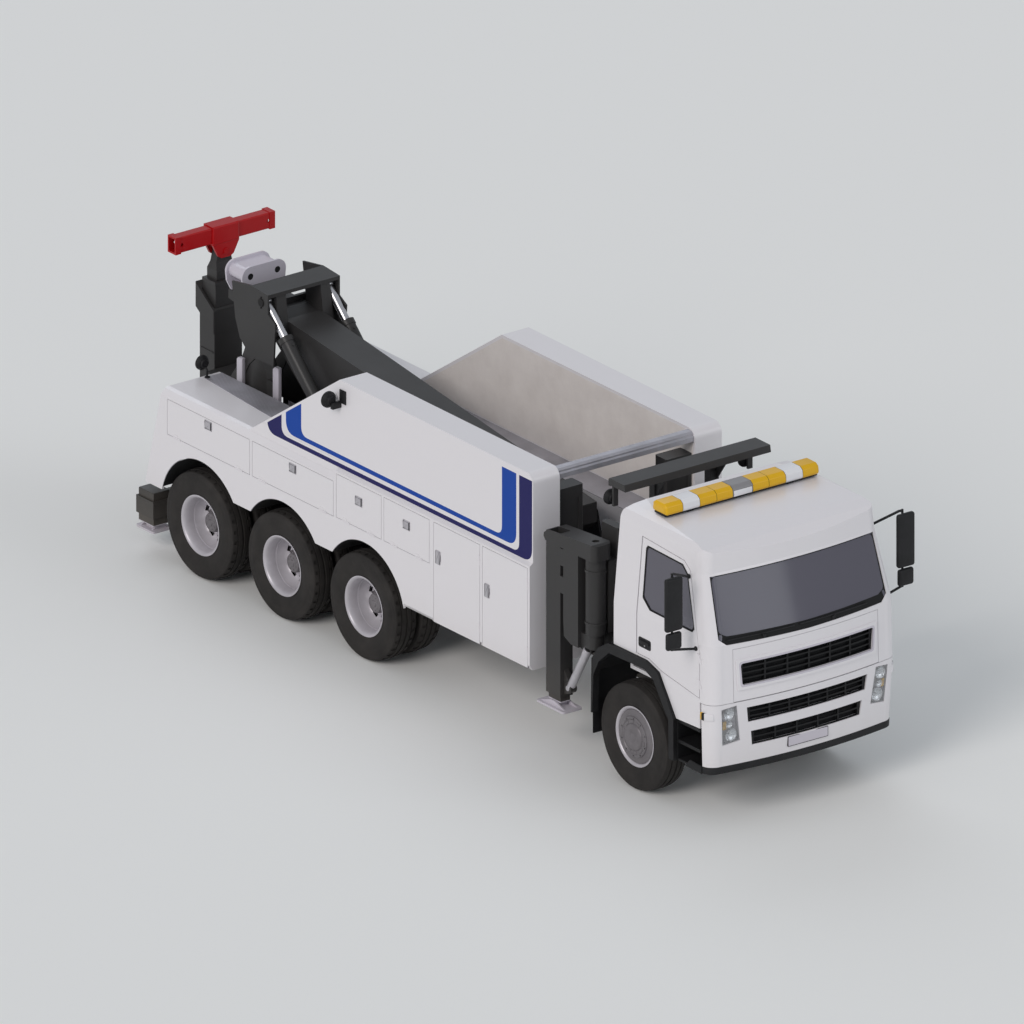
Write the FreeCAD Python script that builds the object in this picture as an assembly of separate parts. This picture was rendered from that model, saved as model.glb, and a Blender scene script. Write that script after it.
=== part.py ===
import FreeCAD, Part
import math
import os

# Heavy tow truck: cab-over tractor with one steered axle and three driven twin-wheel axles,
# a walled wrecker body with lockers, a recovery boom and a folding underlift.
# Millimetres. X is the truck's left, Y runs rearwards from the front axle, Z is up from the ground.
# The solids are moved along Y on saving, so that the origin lies under the middle of the truck.

# ---------------------------------------------------------------- driving dimensions
WIDTH = 2546.0                    # over the locker panels
AXLES = (4615.0, 6035.0, 7455.0)  # rear axles behind the front axle
TYRE_R = 592.0
TYRE_W = 292.0
TWIN_GAP = 42.0                   # between the two tyres of a pair
RIM_R = 322.0
FRONT_WHEEL_X = 1032.0            # middle plane of a front tyre
KINGPIN_X = 880.0
REAR_FACE_X = 1245.0              # outer face of the outer rear tyre
FRONT_END = -1512.0               # front of the bumper
REAR_END = 8914.0                 # back of the folded underlift
FIT = 0.3                         # running clearance between seated pieces

RAIL_X = 425.0                    # outer face of a frame rail
RAIL_W = 80.0
RAIL_H = 270.0
RAIL_T = 12.0
RAIL_TOP = 1060.0
FRAME_FRONT = -1230.0
FRAME_REAR = 8240.0

CAB_REAR = 280.0
CAB_FLOOR = 1240.0
CAB_TOP = 3120.0
CAB_WALL = 45.0
SEAM_Z = 1380.0                   # joint between front panel and bumper
DOOR_REAR = -110.0
DOOR_FRONT = -1215.0
DOOR_HIGH = 2880.0
DOOR_T = 45.0

BODY_FRONT = 1668.0
BODY_REAR = 8333.0
DECK_Z = 1960.0
PANEL_X = WIDTH / 2               # outer plane of the locker panels
WALL_X = PANEL_X - 44             # outer plane of the upper walls
WALL_IN = WALL_X - 350            # inner plane of the upper walls
WELL_X = 525.0                    # half width of the well between the locker boxes
WALL_TOP = 3008.0
WALL_BACK_TOP = 5021.0            # where the wall starts to slope down
WALL_BACK_LOW = 6575.0
SKIN = 28.0
ARCH_R = 700.0
ARCH_SHIFT = -80.0                # arch centre against its axle
ARCH_Z = 650.0
LOCKER_LOW = 1440.0               # floor of the lockers over the wheels
PANEL_LOW = 820.0
BETWEEN_LOW = 1066.0              # lower edge of the panel between two wheels

BOOM_PIVOT = (2600.0, 1930.0)     # Y, Z
BOOM_TOP_SLOPE = 0.122
BOOM_TOP_AT_0 = 1825.0            # height of the boom's top line carried on to Y = 0
EYE = (7400.0, 2930.0)            # rod eye of the lift cylinders
BASE = (5705.0, 1290.0)           # foot pin of the lift cylinders
CYL_X = 400.0
BARREL_R = 74.0
ROD_R = 44.0

LIFT_Y = 8725.0                   # middle plane of the folded underlift
LIFT_PIVOT_Z = 640.0
LIFT_W = 360.0
LIFT_D = 256.0
LIFT_TOP = 2575.0

MID_Y = (FRONT_END + REAR_END) / 2
OUT = "parts"


# ---------------------------------------------------------------- helpers
def vec(x, y, z):
    return FreeCAD.Vector(x, y, z)


def box(x0, x1, y0, y1, z0, z1):
    return Part.makeBox(x1 - x0, y1 - y0, z1 - z0, vec(x0, y0, z0))


def prism_x(points, x0, x1):
    """Outline of (y, z) points, swept from x0 to x1."""
    wire = Part.makePolygon([vec(x0, y, z) for y, z in points + points[:1]])
    return Part.Face(wire).extrude(vec(x1 - x0, 0, 0))


def prism_y(points, y0, y1):
    """Outline of (x, z) points, swept from y0 to y1."""
    wire = Part.makePolygon([vec(x, y0, z) for x, z in points + points[:1]])
    return Part.Face(wire).extrude(vec(0, y1 - y0, 0))


def prism_z(points, z0, z1):
    """Outline of (x, y) points, swept from z0 to z1."""
    wire = Part.makePolygon([vec(x, y, z0) for x, y in points + points[:1]])
    return Part.Face(wire).extrude(vec(0, 0, z1 - z0))


def rod(radius, start, end):
    """Round bar between two points."""
    axis = end - start
    return Part.makeCylinder(radius, axis.Length, start, axis)


def fuse(*shapes):
    joined = shapes[0].multiFuse(list(shapes[1:])) if len(shapes) > 1 else shapes[0]
    return joined.removeSplitter()


def cut(shape, *tools):
    for tool in tools:
        shape = shape.cut(tool)
    return shape.removeSplitter()


def mirrored(shape):
    """The same piece on the other side of the truck."""
    return shape.mirror(vec(0, 0, 0), vec(1, 0, 0))


def pair(shape):
    return [shape, mirrored(shape)]


def round_edges(shape, radius, keep):
    """Fillet of the edges that keep(edge) picks."""
    edges = [edge for edge in shape.Edges if keep(edge)]
    return shape.makeFillet(radius, edges)


def along(edge, axis):
    """True for a straight edge that runs along the named axis."""
    if not isinstance(edge.Curve, Part.Line):
        return False
    direction = edge.Curve.Direction
    return abs(getattr(direction, axis)) > 0.999


def save(name, *shapes):
    solids = [solid for shape in shapes for solid in shape.Solids]
    shape = solids[0] if len(solids) == 1 else Part.makeCompound(solids)
    shape = shape.translated(vec(0, -MID_Y, 0))
    shape.exportStep(f"{OUT}/{name}.step")
    print(f"{name:26s} {len(solids):2d} solids {shape.Volume / 1e9:8.4f} m3 {shape.isValid()}")


os.makedirs("parts", exist_ok=True)

# ---------------------------------------------------------------- chassis frame
RAIL_LOW = RAIL_TOP - RAIL_H
HANGER_DROP = 40.0


def frame_rail():
    """One C-section rail, open towards the middle, cranked up at no point."""
    outer = box(-RAIL_X, -RAIL_X + RAIL_W, FRAME_FRONT, FRAME_REAR, RAIL_LOW, RAIL_TOP)
    inner = box(-RAIL_X + RAIL_T, -RAIL_X + RAIL_W, FRAME_FRONT, FRAME_REAR,
                RAIL_LOW + RAIL_T, RAIL_TOP - RAIL_T)
    return outer.cut(inner)


def crossmember(y, low, high):
    """Pressed crossmember between the webs of the rails."""
    reach = RAIL_X - RAIL_T + 2
    web = box(-reach, reach, y - 6, y + 6, low, high)
    top = box(-reach, reach, y - 50, y + 50, high - 10, high)
    foot = box(-reach, reach, y - 50, y + 50, low, low + 10)
    return fuse(web, top, foot)


CROSSMEMBERS = (-1150.0, 1900.0, 3300.0, 5325.0, 6745.0, 8150.0)
members = [crossmember(y, RAIL_LOW + 30, RAIL_TOP - 30) for y in CROSSMEMBERS]
hanger_stations = [(0.0, 620.0)] + [(y, 560.0) for y in AXLES]
hangers = []
for axle_y, half_span in hanger_stations:
    for end in (-1, 1):
        y = axle_y + end * half_span
        for side in (-1, 1):
            x0 = side * 345.0 - 40 if side < 0 else 305.0
            hangers.append(box(x0, x0 + 80, y - 35, y + 35, RAIL_LOW - HANGER_DROP, RAIL_LOW + 8))
mounts = []
for y in (-1190.0, 150.0):
    mounts += pair(box(-RAIL_X, -RAIL_X + RAIL_W, y, y + 80, RAIL_TOP - 2, CAB_FLOOR - FIT))
frame = fuse(frame_rail(), mirrored(frame_rail()), *members, *hangers, *mounts)
save("chassis_frame", frame)


# ---------------------------------------------------------------- springs, axles and driveline
def leaf_spring(axle_y, half_span, leaves):
    """Stack of leaves under one rail; each leaf is shorter than the one above."""
    stack = []
    top = RAIL_LOW - HANGER_DROP - FIT
    for leaf in range(leaves):
        reach = half_span + 35 - leaf * (half_span * 0.75 / leaves)
        z1 = top - leaf * 14
        stack.append(box(-385, -305, axle_y - reach, axle_y + reach, z1 - 14, z1))
    return fuse(*stack)


SPRING_LEAVES = 5
SPRING_LOW = RAIL_LOW - HANGER_DROP - FIT - 14 * SPRING_LEAVES
springs = []
for axle_y, half_span in hanger_stations:
    springs += pair(leaf_spring(axle_y, half_span, SPRING_LEAVES))
save("leaf_springs", *springs)

SPINDLE_R = 46.0                  # stub axles of all wheels
HUB_FACE_X = 690.0                # inner face of a rear hub

# I-section front axle, dropped between the spring seats and raised to the kingpin eyes.
EYE_R = 62.0
EYE_H = 110.0
def from_hub(points):
    """Outline points whose heights are measured from the wheel centres."""
    return [(x, TYRE_R + z) for x, z in points]


beam_line = from_hub([(-KINGPIN_X + 20, -30), (-560, -72), (-420, -87), (420, -87), (560, -72),
                      (KINGPIN_X - 20, -30), (KINGPIN_X - 20, 30), (560, 8), (420, -2),
                      (-420, -2), (-560, 8), (-KINGPIN_X + 20, 30)])
front_beam = prism_y(beam_line, -45, 45)
relief = prism_y(from_hub([(-780, -17), (-430, -52), (430, -52), (780, -17), (780, 8), (430, -30),
                           (-430, -30), (-780, 8)]), 14, 60)
front_beam = cut(front_beam, relief, relief.mirror(vec(0, 0, 0), vec(0, 1, 0)))
seats = [box(side * 345 - 50, side * 345 + 50, -90, 90, TYRE_R - 17, SPRING_LOW - FIT)
         for side in (-1, 1)]
eyes = [rod(EYE_R, vec(side * KINGPIN_X, 0, TYRE_R - EYE_H / 2),
            vec(side * KINGPIN_X, 0, TYRE_R + EYE_H / 2))
        for side in (-1, 1)]
bores = [rod(26, vec(side * KINGPIN_X, 0, TYRE_R - 92), vec(side * KINGPIN_X, 0, TYRE_R + 108))
         for side in (-1, 1)]
front_axle = cut(fuse(front_beam, *seats, *eyes), *bores)


def rear_axle(y):
    """Banjo axle: tapered tube, round differential housing and spring seats."""
    half = 560.0
    tube = rod(62, vec(-half, y, TYRE_R), vec(half, y, TYRE_R))
    hump = Part.makeCylinder(215, 150, vec(0, y - 75, TYRE_R), vec(0, 1, 0))
    nose = Part.makeCone(150, 85, 210, vec(0, y - 60, TYRE_R), vec(0, -1, 0))
    cover = Part.makeSphere(150, vec(0, y + 20, TYRE_R))
    pads = [box(side * 345 - 50, side * 345 + 50, y - 90, y + 90, TYRE_R + 40, SPRING_LOW - FIT)
            for side in (-1, 1)]
    low_pads = [box(side * 345 - 50, side * 345 + 50, y - 80, y + 80, TYRE_R - 75, TYRE_R + 10)
                for side in (-1, 1)]
    spindle = rod(SPINDLE_R, vec(-790, y, TYRE_R), vec(790, y, TYRE_R))
    collar = rod(70, vec(-HUB_FACE_X + FIT, y, TYRE_R), vec(HUB_FACE_X - FIT, y, TYRE_R))
    return fuse(tube, spindle, collar, hump, nose, cover, *pads, *low_pads)


save("axles", front_axle, *[rear_axle(y) for y in AXLES])

# Engine block under the cab and the shafts that drive the rear axles.
engine = box(-300, 300, -880, 330, 700, 1190)
sump = box(-200, 200, -600, 250, 470, 700)
engine = cut(engine, box(-300, -200, -880, 330, 700, 860), box(200, 300, -880, 330, 700, 860))
engine = cut(fuse(engine, sump), box(-230, 230, -130, 130, 400, 640))
mounts = pair(box(-RAIL_X + RAIL_T + FIT, -290, -500, -420, 850, 950))
gearbox = Part.makeCone(230, 150, 900, vec(0, 330.3, 880), vec(0, 1, -0.08))
shaft = rod(48, vec(0, 1200, 800), vec(0, AXLES[0] - 310, 612))
flange = rod(62, vec(0, AXLES[0] - 325, 610), vec(0, AXLES[0] - 270 - FIT, 610))
links = [rod(42, vec(0, a + 170 + FIT, TYRE_R), vec(0, b - 270 - FIT, TYRE_R))
         for a, b in zip(AXLES, AXLES[1:])]
save("driveline", fuse(engine, *mounts, gearbox, shaft, flange), *links)


# ---------------------------------------------------------------- wheels
def revolved(points, y, z):
    """Closed outline of (x, radius) points, turned about the wheel's axle."""
    wire = Part.makePolygon([vec(x, y, z + r) for x, r in points + points[:1]])
    return Part.Face(wire).revolve(vec(0, y, z), vec(1, 0, 0), 360)


def tyre(mid_x, y):
    """Bulged sidewalls, rounded shoulders and a slightly crowned tread, with a flat bead."""
    half, bead = TYRE_W / 2, TYRE_W / 2 - 34

    def at(x, r):
        return vec(mid_x + x, y, TYRE_R + r)

    def arc(a, b, c):
        return Part.Arc(at(*a), at(*b), at(*c)).toShape()

    def line(a, b):
        return Part.LineSegment(at(*a), at(*b)).toShape()

    edges = [
        line((-bead, RIM_R - 14), (bead, RIM_R - 14)),
        line((bead, RIM_R - 14), (bead, RIM_R + 12)),
        arc((bead, RIM_R + 12), (half, 455), (half - 10, 545)),
        arc((half - 10, 545), (half - 20, 570), (half - 42, 580)),
        arc((half - 42, 580), (0, TYRE_R), (-half + 42, 580)),
        arc((-half + 42, 580), (-half + 20, 570), (-half + 10, 545)),
        arc((-half + 10, 545), (-half, 455), (-bead, RIM_R + 12)),
        line((-bead, RIM_R + 12), (-bead, RIM_R - 14)),
    ]
    face = Part.Face(Part.Wire(edges))
    return face.revolve(vec(0, y, TYRE_R), vec(1, 0, 0), 360)


def rim(mid_x, y):
    """Barrel with two lips; its seat lies inside the tyre's bead."""
    lip = TYRE_W / 2 - 34
    return revolved([
        (mid_x - lip - 14, RIM_R + 6), (mid_x - lip - 14, RIM_R - 10), (mid_x - lip, RIM_R - 26),
        (mid_x - 30, RIM_R - 40), (mid_x + 30, RIM_R - 40), (mid_x + lip, RIM_R - 26),
        (mid_x + lip + 14, RIM_R - 10), (mid_x + lip + 14, RIM_R + 6), (mid_x + lip - 2, RIM_R + 6),
        (mid_x + lip - 2, RIM_R - 14), (mid_x - lip + 2, RIM_R - 14), (mid_x - lip + 2, RIM_R + 6),
    ], y, TYRE_R)


# Front wheel: single tyre on a rim with a stepped, domed cover.
HUB_BORE = 48.5
FRONT_HUB_X = 970.0               # inner face of the front hub
COVER_X = 1149.0


def front_wheel():
    cover = revolved([
        (COVER_X - 32, RIM_R - 20), (COVER_X - 4, RIM_R - 20), (COVER_X, RIM_R - 30),
        (COVER_X + 6, 235), (COVER_X + 16, 225), (COVER_X + 22, 150), (COVER_X + 34, 140),
        (COVER_X + 38, 0), (COVER_X + 14, 0), (COVER_X - 32, 200),
    ], 0, TYRE_R)
    disc = revolved([
        (1040, RIM_R - 34), (1056, RIM_R - 34), (1080, 180), (1140, 120), (1140, 0), (1090, 0),
        (1090, HUB_BORE + 60), (1040, HUB_BORE + 60), (1040, 150),
    ], 0, TYRE_R)
    hub = revolved([(FRONT_HUB_X, HUB_BORE), (1095, HUB_BORE), (1095, 118), (FRONT_HUB_X, 118)], 0, TYRE_R)
    drum = revolved([(972, 150), (976, 210), (1046, 210), (1046, 190), (990, 190), (990, 110),
                     (980, 110), (980, 150)], 0, TYRE_R)
    return fuse(tyre(FRONT_WHEEL_X, 0), rim(FRONT_WHEEL_X, 0), cover, disc, hub, drum)


wheel = front_wheel()
save("front_wheel_left", wheel)
save("front_wheel_right", mirrored(wheel))

# Rear wheel: two tyres on dished rims that meet at the hub flange.
OUTER_MID = REAR_FACE_X - TYRE_W / 2
INNER_MID = OUTER_MID - TYRE_W - TWIN_GAP
FLANGE_X = (OUTER_MID + INNER_MID) / 2


def rear_wheel(y):
    outer_disc = revolved([
        (FLANGE_X, 240), (FLANGE_X + 14, 240), (FLANGE_X + 70, 284), (OUTER_MID + 6, 284),
        (OUTER_MID + 6, 274), (FLANGE_X + 84, 274), (FLANGE_X + 18, 222), (FLANGE_X + 18, 0),
        (FLANGE_X, 0),
    ], y, TYRE_R)
    inner_disc = revolved([
        (FLANGE_X, 240), (FLANGE_X - 14, 240), (FLANGE_X - 70, 284), (INNER_MID - 6, 284),
        (INNER_MID - 6, 274), (FLANGE_X - 84, 274), (FLANGE_X - 18, 222), (FLANGE_X - 18, 100),
        (FLANGE_X, 100),
    ], y, TYRE_R)
    hub = revolved([
        (HUB_FACE_X, HUB_BORE), (HUB_FACE_X, 78), (705, 130), (FLANGE_X, 140), (FLANGE_X + 18, 140),
        (FLANGE_X + 60, 118), (FLANGE_X + 150, 112), (FLANGE_X + 170, 96), (FLANGE_X + 176, 0),
        (800, 0), (800, HUB_BORE),
    ], y, TYRE_R)
    drum = revolved([(650, 215), (860, 215), (880, 130), (870, 120), (850, 195), (650, 195)],
                    y, TYRE_R)
    web = revolved([(838, 205), (858, 205), (858, 120), (838, 120)], y, TYRE_R)
    return fuse(tyre(OUTER_MID, y), tyre(INNER_MID, y), rim(OUTER_MID, y), rim(INNER_MID, y),
                outer_disc, inner_disc, hub, drum, web)


for number, axle_y in enumerate(AXLES, 1):
    wheel = rear_wheel(axle_y)
    save(f"rear_wheel_{number}_left", wheel)
    save(f"rear_wheel_{number}_right", mirrored(wheel))


# ---------------------------------------------------------------- steering knuckles
def knuckle():
    """Fork over the axle eye with the kingpin, stub axle and steering arm."""
    x = KINGPIN_X
    pin = rod(25.5, vec(x, 0, TYRE_R - 122), vec(x, 0, TYRE_R + 122))
    top = rod(58, vec(x, 0, TYRE_R + EYE_H / 2 + 1), vec(x, 0, TYRE_R + EYE_H / 2 + 50))
    low = rod(58, vec(x, 0, TYRE_R - EYE_H / 2 - 50), vec(x, 0, TYRE_R - EYE_H / 2 - 1))
    back = box(x + 66, x + 84, -60, 60, TYRE_R - EYE_H / 2 - 50, TYRE_R + EYE_H / 2 + 50)
    ties = [box(x, x + 70, -45, 45, TYRE_R + EYE_H / 2 + 1, TYRE_R + EYE_H / 2 + 50),
            box(x, x + 70, -45, 45, TYRE_R - EYE_H / 2 - 50, TYRE_R - EYE_H / 2 - 1)]
    stub = rod(SPINDLE_R, vec(x + 80, 0, TYRE_R), vec(1080, 0, TYRE_R))
    collar = rod(70, vec(x + 80, 0, TYRE_R), vec(FRONT_HUB_X - FIT, 0, TYRE_R))
    arm = box(x - 40, x - 5, 20, 230, TYRE_R - EYE_H / 2 - 40, TYRE_R - EYE_H / 2 - 15)
    return fuse(pin, top, low, back, *ties, stub, collar, arm)


steering = knuckle()
save("steering_knuckle_left", steering)
save("steering_knuckle_right", mirrored(steering))


# ---------------------------------------------------------------- cab outline
# Plan sections of the cab: height, half width, front at the corners, front at the middle,
# corner radius. The side walls lean in and the windscreen leans back above the waist.
CAB_SECTIONS = (
    (590.0, 1205.0, -1362.0, -1450.0, 150.0),
    (1380.0, 1220.0, -1415.0, -1512.0, 160.0),
    (2030.0, 1218.0, -1400.0, -1490.0, 170.0),
    (2765.0, 1150.0, -1180.0, -1252.0, 150.0),
    (3140.0, 1116.0, -1170.0, -1240.0, 150.0),
)
ROOF_FRONT = (-970.0, 3062.0)
BROW = (-1262.0, 2960.0)


def cab_section(z, half, corner, middle, radius, inset):
    """Closed plan outline: straight back and sides, rounded corners, bowed front."""
    half -= inset
    corner += inset
    middle += inset
    rear = CAB_REAR - inset
    flat = half - radius
    bend = radius * (1 - math.sqrt(0.5))

    def line(a, b):
        return Part.LineSegment(vec(*a, z), vec(*b, z)).toShape()

    def arc(a, b, c):
        return Part.Arc(vec(*a, z), vec(*b, z), vec(*c, z)).toShape()

    return Part.Wire([
        line((half, rear), (half, corner + radius)),
        arc((half, corner + radius), (half - bend, corner + bend), (flat, corner)),
        arc((flat, corner), (0, middle), (-flat, corner)),
        arc((-flat, corner), (-half + bend, corner + bend), (-half, corner + radius)),
        line((-half, corner + radius), (-half, rear)),
        line((-half, rear), (half, rear)),
    ])


def cab_solid(inset):
    """Whole cab form, shrunk by inset, from the bumper's lower edge to the roof."""
    wires = [cab_section(*row, inset) for row in CAB_SECTIONS]
    form = Part.makeLoft(wires, True, True)
    top = CAB_TOP - inset
    roof = [(CAB_REAR - inset + 5, 400), (CAB_REAR - inset + 5, top - 90),
            (CAB_REAR - inset - 70, top), (ROOF_FRONT[0], ROOF_FRONT[1] - inset),
            (-1130, 3022 - inset), (-1215, BROW[1] - inset), (BROW[0] + inset - 30, 2890 - inset),
            (-1600, 2790), (-1600, 400)]
    side_trim = prism_x(roof, -1400, 1400)
    edge = 1128 - inset
    front_trim = prism_y([(-1300, 400), (-1300, 2500), (-edge - 16, 2900), (-edge, 2985 - inset),
                          (-edge + 45, 3062 - inset), (-edge + 130, 3100 - inset),
                          (-edge + 300, top + 2), (edge - 300, top + 2),
                          (edge - 130, 3100 - inset), (edge - 45, 3062 - inset),
                          (edge, 2985 - inset), (edge + 16, 2900), (1300, 2500), (1300, 400)],
                         -1700, 500)
    return form.common(side_trim).common(front_trim)


def skin(outer, inner):
    """Layer of the cab form between two insets."""
    return cab_solid(outer).cut(cab_solid(inner))


# Door and window outlines, as (y, z) points of the right side.
DOOR = [(DOOR_REAR, 1585.0), (DOOR_REAR, DOOR_HIGH), (-850.0, 2842.0), (-968.0, 2762.0),
        (DOOR_FRONT, 1930.0), (DOOR_FRONT, 1420.0), (-560.0, 1512.0), (-330.0, 1585.0)]
WINDOW = [(-194.0, 2226.0), (-190.0, 2770.0), (-215.0, 2806.0), (-830.0, 2794.0),
          (-925.0, 2716.0), (-1105.0, 2160.0), (-1070.0, 2118.0), (-330.0, 2124.0)]
DOOR_GAP = 9.0
DOOR_REAR_GAP = 16.0


def drawn_in(points, middle, gap):
    """Outline moved towards its middle by the gap along both of its axes."""
    return [(a + math.copysign(gap, middle[0] - a), b + math.copysign(gap, middle[1] - b))
            for a, b in points]


def door_outline():
    """Door outline inside its gap, which is wider along the rear edge."""
    rear_edge = DOOR_REAR - DOOR_REAR_GAP
    return [(min(y, rear_edge), z) for y, z in drawn_in(DOOR, (-650.0, 2150.0), DOOR_GAP)]


outer_form = cab_solid(0)
inner_form = cab_solid(CAB_WALL)
shell = outer_form.cut(inner_form)
floor = inner_form.common(box(-1300, 1300, -1700, 400, CAB_FLOOR, CAB_FLOOR + 40))
tunnel = box(-390, 390, -1330, CAB_REAR - 20, CAB_FLOOR, 1510)
tunnel = tunnel.cut(box(-350, 350, -1400, CAB_REAR + 10, CAB_FLOOR - 5, 1470))
wall = inner_form.common(box(-1300, 1300, -1345, -1310, CAB_FLOOR, 2000))
below = box(-1400, 1400, -1700, 400, 400, CAB_FLOOR)
skirt = prism_x([(-1210, 1085), (-800, 1068), (-560, 1400), (-560, 1512), (-1210, 1500)], -1300, 1300)
cab = fuse(shell.cut(below), shell.common(skirt.cut(box(-1100, 1100, -1700, 0, 400, 2000))),
           floor, tunnel, wall)

# Rounded arch in the flanks over the steered wheels.
ARCH_OUTER = [(640, 400), (628, 1300), (520, 1450), (340, 1562), (-310, 1566), (-520, 1500),
              (-660, 1290), (-800, 1066), (-830, 400)]
arch = prism_x(ARCH_OUTER, -1400, -1000)
cab = cab.cut(arch).cut(mirrored(arch))
cab = cab.cut(box(-780, 780, -1000, CAB_REAR + 60, 1100, CAB_FLOOR - 1))

# Openings: doors, windscreen, rear window and the bay behind the front panel.
PANEL_HALF = 940.0
PANEL_LOW_Z = SEAM_Z + 8
PANEL_TOP_Z = 1968.0
SCREEN = [(-1096.0, 2100.0), (-1062.0, 2738.0), (1062.0, 2738.0), (1096.0, 2100.0),
          (1010.0, 2030.0), (0.0, 2012.0), (-1010.0, 2030.0)]
screen_hole = prism_y(SCREEN, -1800, -900)
door_hole = prism_x(DOOR, -1400, -900)
panel_bay = box(-PANEL_HALF - 5, PANEL_HALF + 5, -1800, -1345, CAB_FLOOR - 10, PANEL_TOP_Z + 5)
nose_cut = box(-1400, 1400, -1800, -1215, CAB_FLOOR - 10, SEAM_Z + 2)
cab = cut(cab, door_hole, mirrored(door_hole), screen_hole, panel_bay, nose_cut)

# Door hinges: barrels on one upright line, alternately on the cab and on the door.
CAB_HINGE = (-1224.0, -1212.0)
CAB_HINGE_R = 10.0
CAB_HINGE_Z = (1530.0, 1820.0)
KNUCKLE_H = 50.0


def cab_barrel(z0, z1, radius):
    return Part.makeCylinder(radius, z1 - z0, vec(*CAB_HINGE, z0))


cab_knuckles = []
door_knuckles = []
cab_clear = []
door_clear = []
for z in CAB_HINGE_Z:
    z1 = z + KNUCKLE_H
    z2 = z1 + KNUCKLE_H
    cab_knuckles += [cab_barrel(z, z1, CAB_HINGE_R), box(-1226, -1206, -1245, -1212, z, z1)]
    door_clear.append(cab_barrel(z - FIT, z1 + FIT, CAB_HINGE_R + FIT))
    door_knuckles += [cab_barrel(z1 + FIT, z2, CAB_HINGE_R), box(-1226, -1200, -1212, -1170, z1 + FIT, z2)]
    cab_clear.append(cab_barrel(z1, z2 + FIT, CAB_HINGE_R + FIT))
cab = cab.cut(Part.makeCompound(cab_clear + [mirrored(shape) for shape in cab_clear]))
cab = fuse(cab, *cab_knuckles, *[mirrored(shape) for shape in cab_knuckles])
save("cab_shell", cab)

glass = skin(10, 18).common(prism_y(drawn_in(SCREEN, (0.0, 2380.0), FIT), -1800, -900))
save("windscreen", glass)


def door(outline):
    slab = skin(0, DOOR_T).common(prism_x(outline, -1400, -900))
    return slab.cut(prism_x(WINDOW, -1400, -900))


cab_door = fuse(door(door_outline()), *door_knuckles).cut(Part.makeCompound(door_clear)).removeSplitter()
save("cab_door_right", cab_door)
save("cab_door_left", mirrored(cab_door))

# Front panel with its grille opening, and the bumper with two more.
# Openings as half widths at the top and the bottom, then the heights of bottom and top.
GRILLES = ((868.0, 850.0, 1556.0, 1806.0), (785.0, 762.0, 1124.0, 1296.0),
           (722.0, 702.0, 852.0, 1014.0))


def grille_prism(row, grow, y0, y1):
    top, foot, low, high = row
    return prism_y([(-foot - grow, low - grow), (foot + grow, low - grow),
                    (top + grow, high + grow), (-top - grow, high + grow)], y0, y1)


PANEL_T = 42.0
panel = skin(0, PANEL_T).common(box(-PANEL_HALF, PANEL_HALF, -1800, -1350, PANEL_LOW_Z, PANEL_TOP_Z))
frame_lip = skin(-14, 0).common(grille_prism(GRILLES[0], 46, -1800, -1300))
panel = cut(fuse(panel, frame_lip), grille_prism(GRILLES[0], 0, -1800, -1200))
panel = fuse(panel, *pair(box(-640, -600, -1440, -1345 - FIT, 1860, 1900)))
save("front_panel", panel)

BUMPER_LOW = 590.0
LAMP = [(-1082, 1320), (-905, 1342), (-848, 935), (-1052, 905)]
bumper = skin(0, 60).common(box(-1300, 1300, -1800, -1240, BUMPER_LOW, SEAM_Z - 4))
bumper = fuse(bumper, box(-480, 480, -1440, -1260, 760, 830),
              box(-400, -320, -1450, FRAME_FRONT, 800, 1050),
              box(320, 400, -1450, FRAME_FRONT, 800, 1050))
bumper = bumper.common(cab_solid(-1)).common(box(-1300, 1300, -1800, FRAME_FRONT - FIT, 400, 2000))
lamp_hole = prism_y(LAMP, -1800, -1300)
for row in GRILLES[1:]:
    bumper = bumper.cut(grille_prism(row, 0, -1800, -1330))
lamp_pocket = lamp_hole.common(skin(-5, 45))
bumper = cut(bumper, lamp_pocket, mirrored(lamp_pocket))
save("bumper", bumper)


def section_at(z):
    """Half width, corner and middle of the cab's plan outline at one height."""
    for (z0, *low_row), (z1, *high_row) in zip(CAB_SECTIONS, CAB_SECTIONS[1:]):
        if z0 <= z <= z1:
            part = (z - z0) / (z1 - z0)
            return [a + (b - a) * part for a, b in zip(low_row, high_row)]


def grille(row, depth, slats, posts):
    """Insert: bowed slats and posts, set behind the face of its opening."""
    foot, low, high = row[1:]
    half, corner, middle, radius = section_at((low + high) / 2)
    flat = half - radius
    bows = [Part.Arc(vec(-flat, corner + inset, low), vec(0, middle + inset, low),
                     vec(flat, corner + inset, low)).toShape() for inset in (depth, depth + 22)]
    ends = [Part.LineSegment(vec(x, corner + depth, low), vec(x, corner + depth + 22, low)).toShape()
            for x in (-flat, flat)]
    band = Part.Face(Part.Wire(Part.__sortEdges__(bows + ends))).extrude(vec(0, 0, high - low))
    layer = band.common(grille_prism(row, -FIT, -1800, -1200))
    voids = []
    rows = slats + 1
    step = (high - low) / rows
    for level in range(rows):
        z0 = low + level * step + 8
        z1 = low + (level + 1) * step - 8
        for number in range(posts + 1):
            x0 = -foot + 20 + number * (2 * foot - 40) / (posts + 1) + 10
            x1 = -foot + 20 + (number + 1) * (2 * foot - 40) / (posts + 1) - 10
            voids.append(box(x0, x1, -1800, -1200, z0, z1))
    return layer.cut(Part.makeCompound(voids)).removeSplitter()


save("grilles", grille(GRILLES[0], 16, 3, 5), grille(GRILLES[1], 20, 2, 5),
     grille(GRILLES[2], 18, 1, 4))


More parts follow.
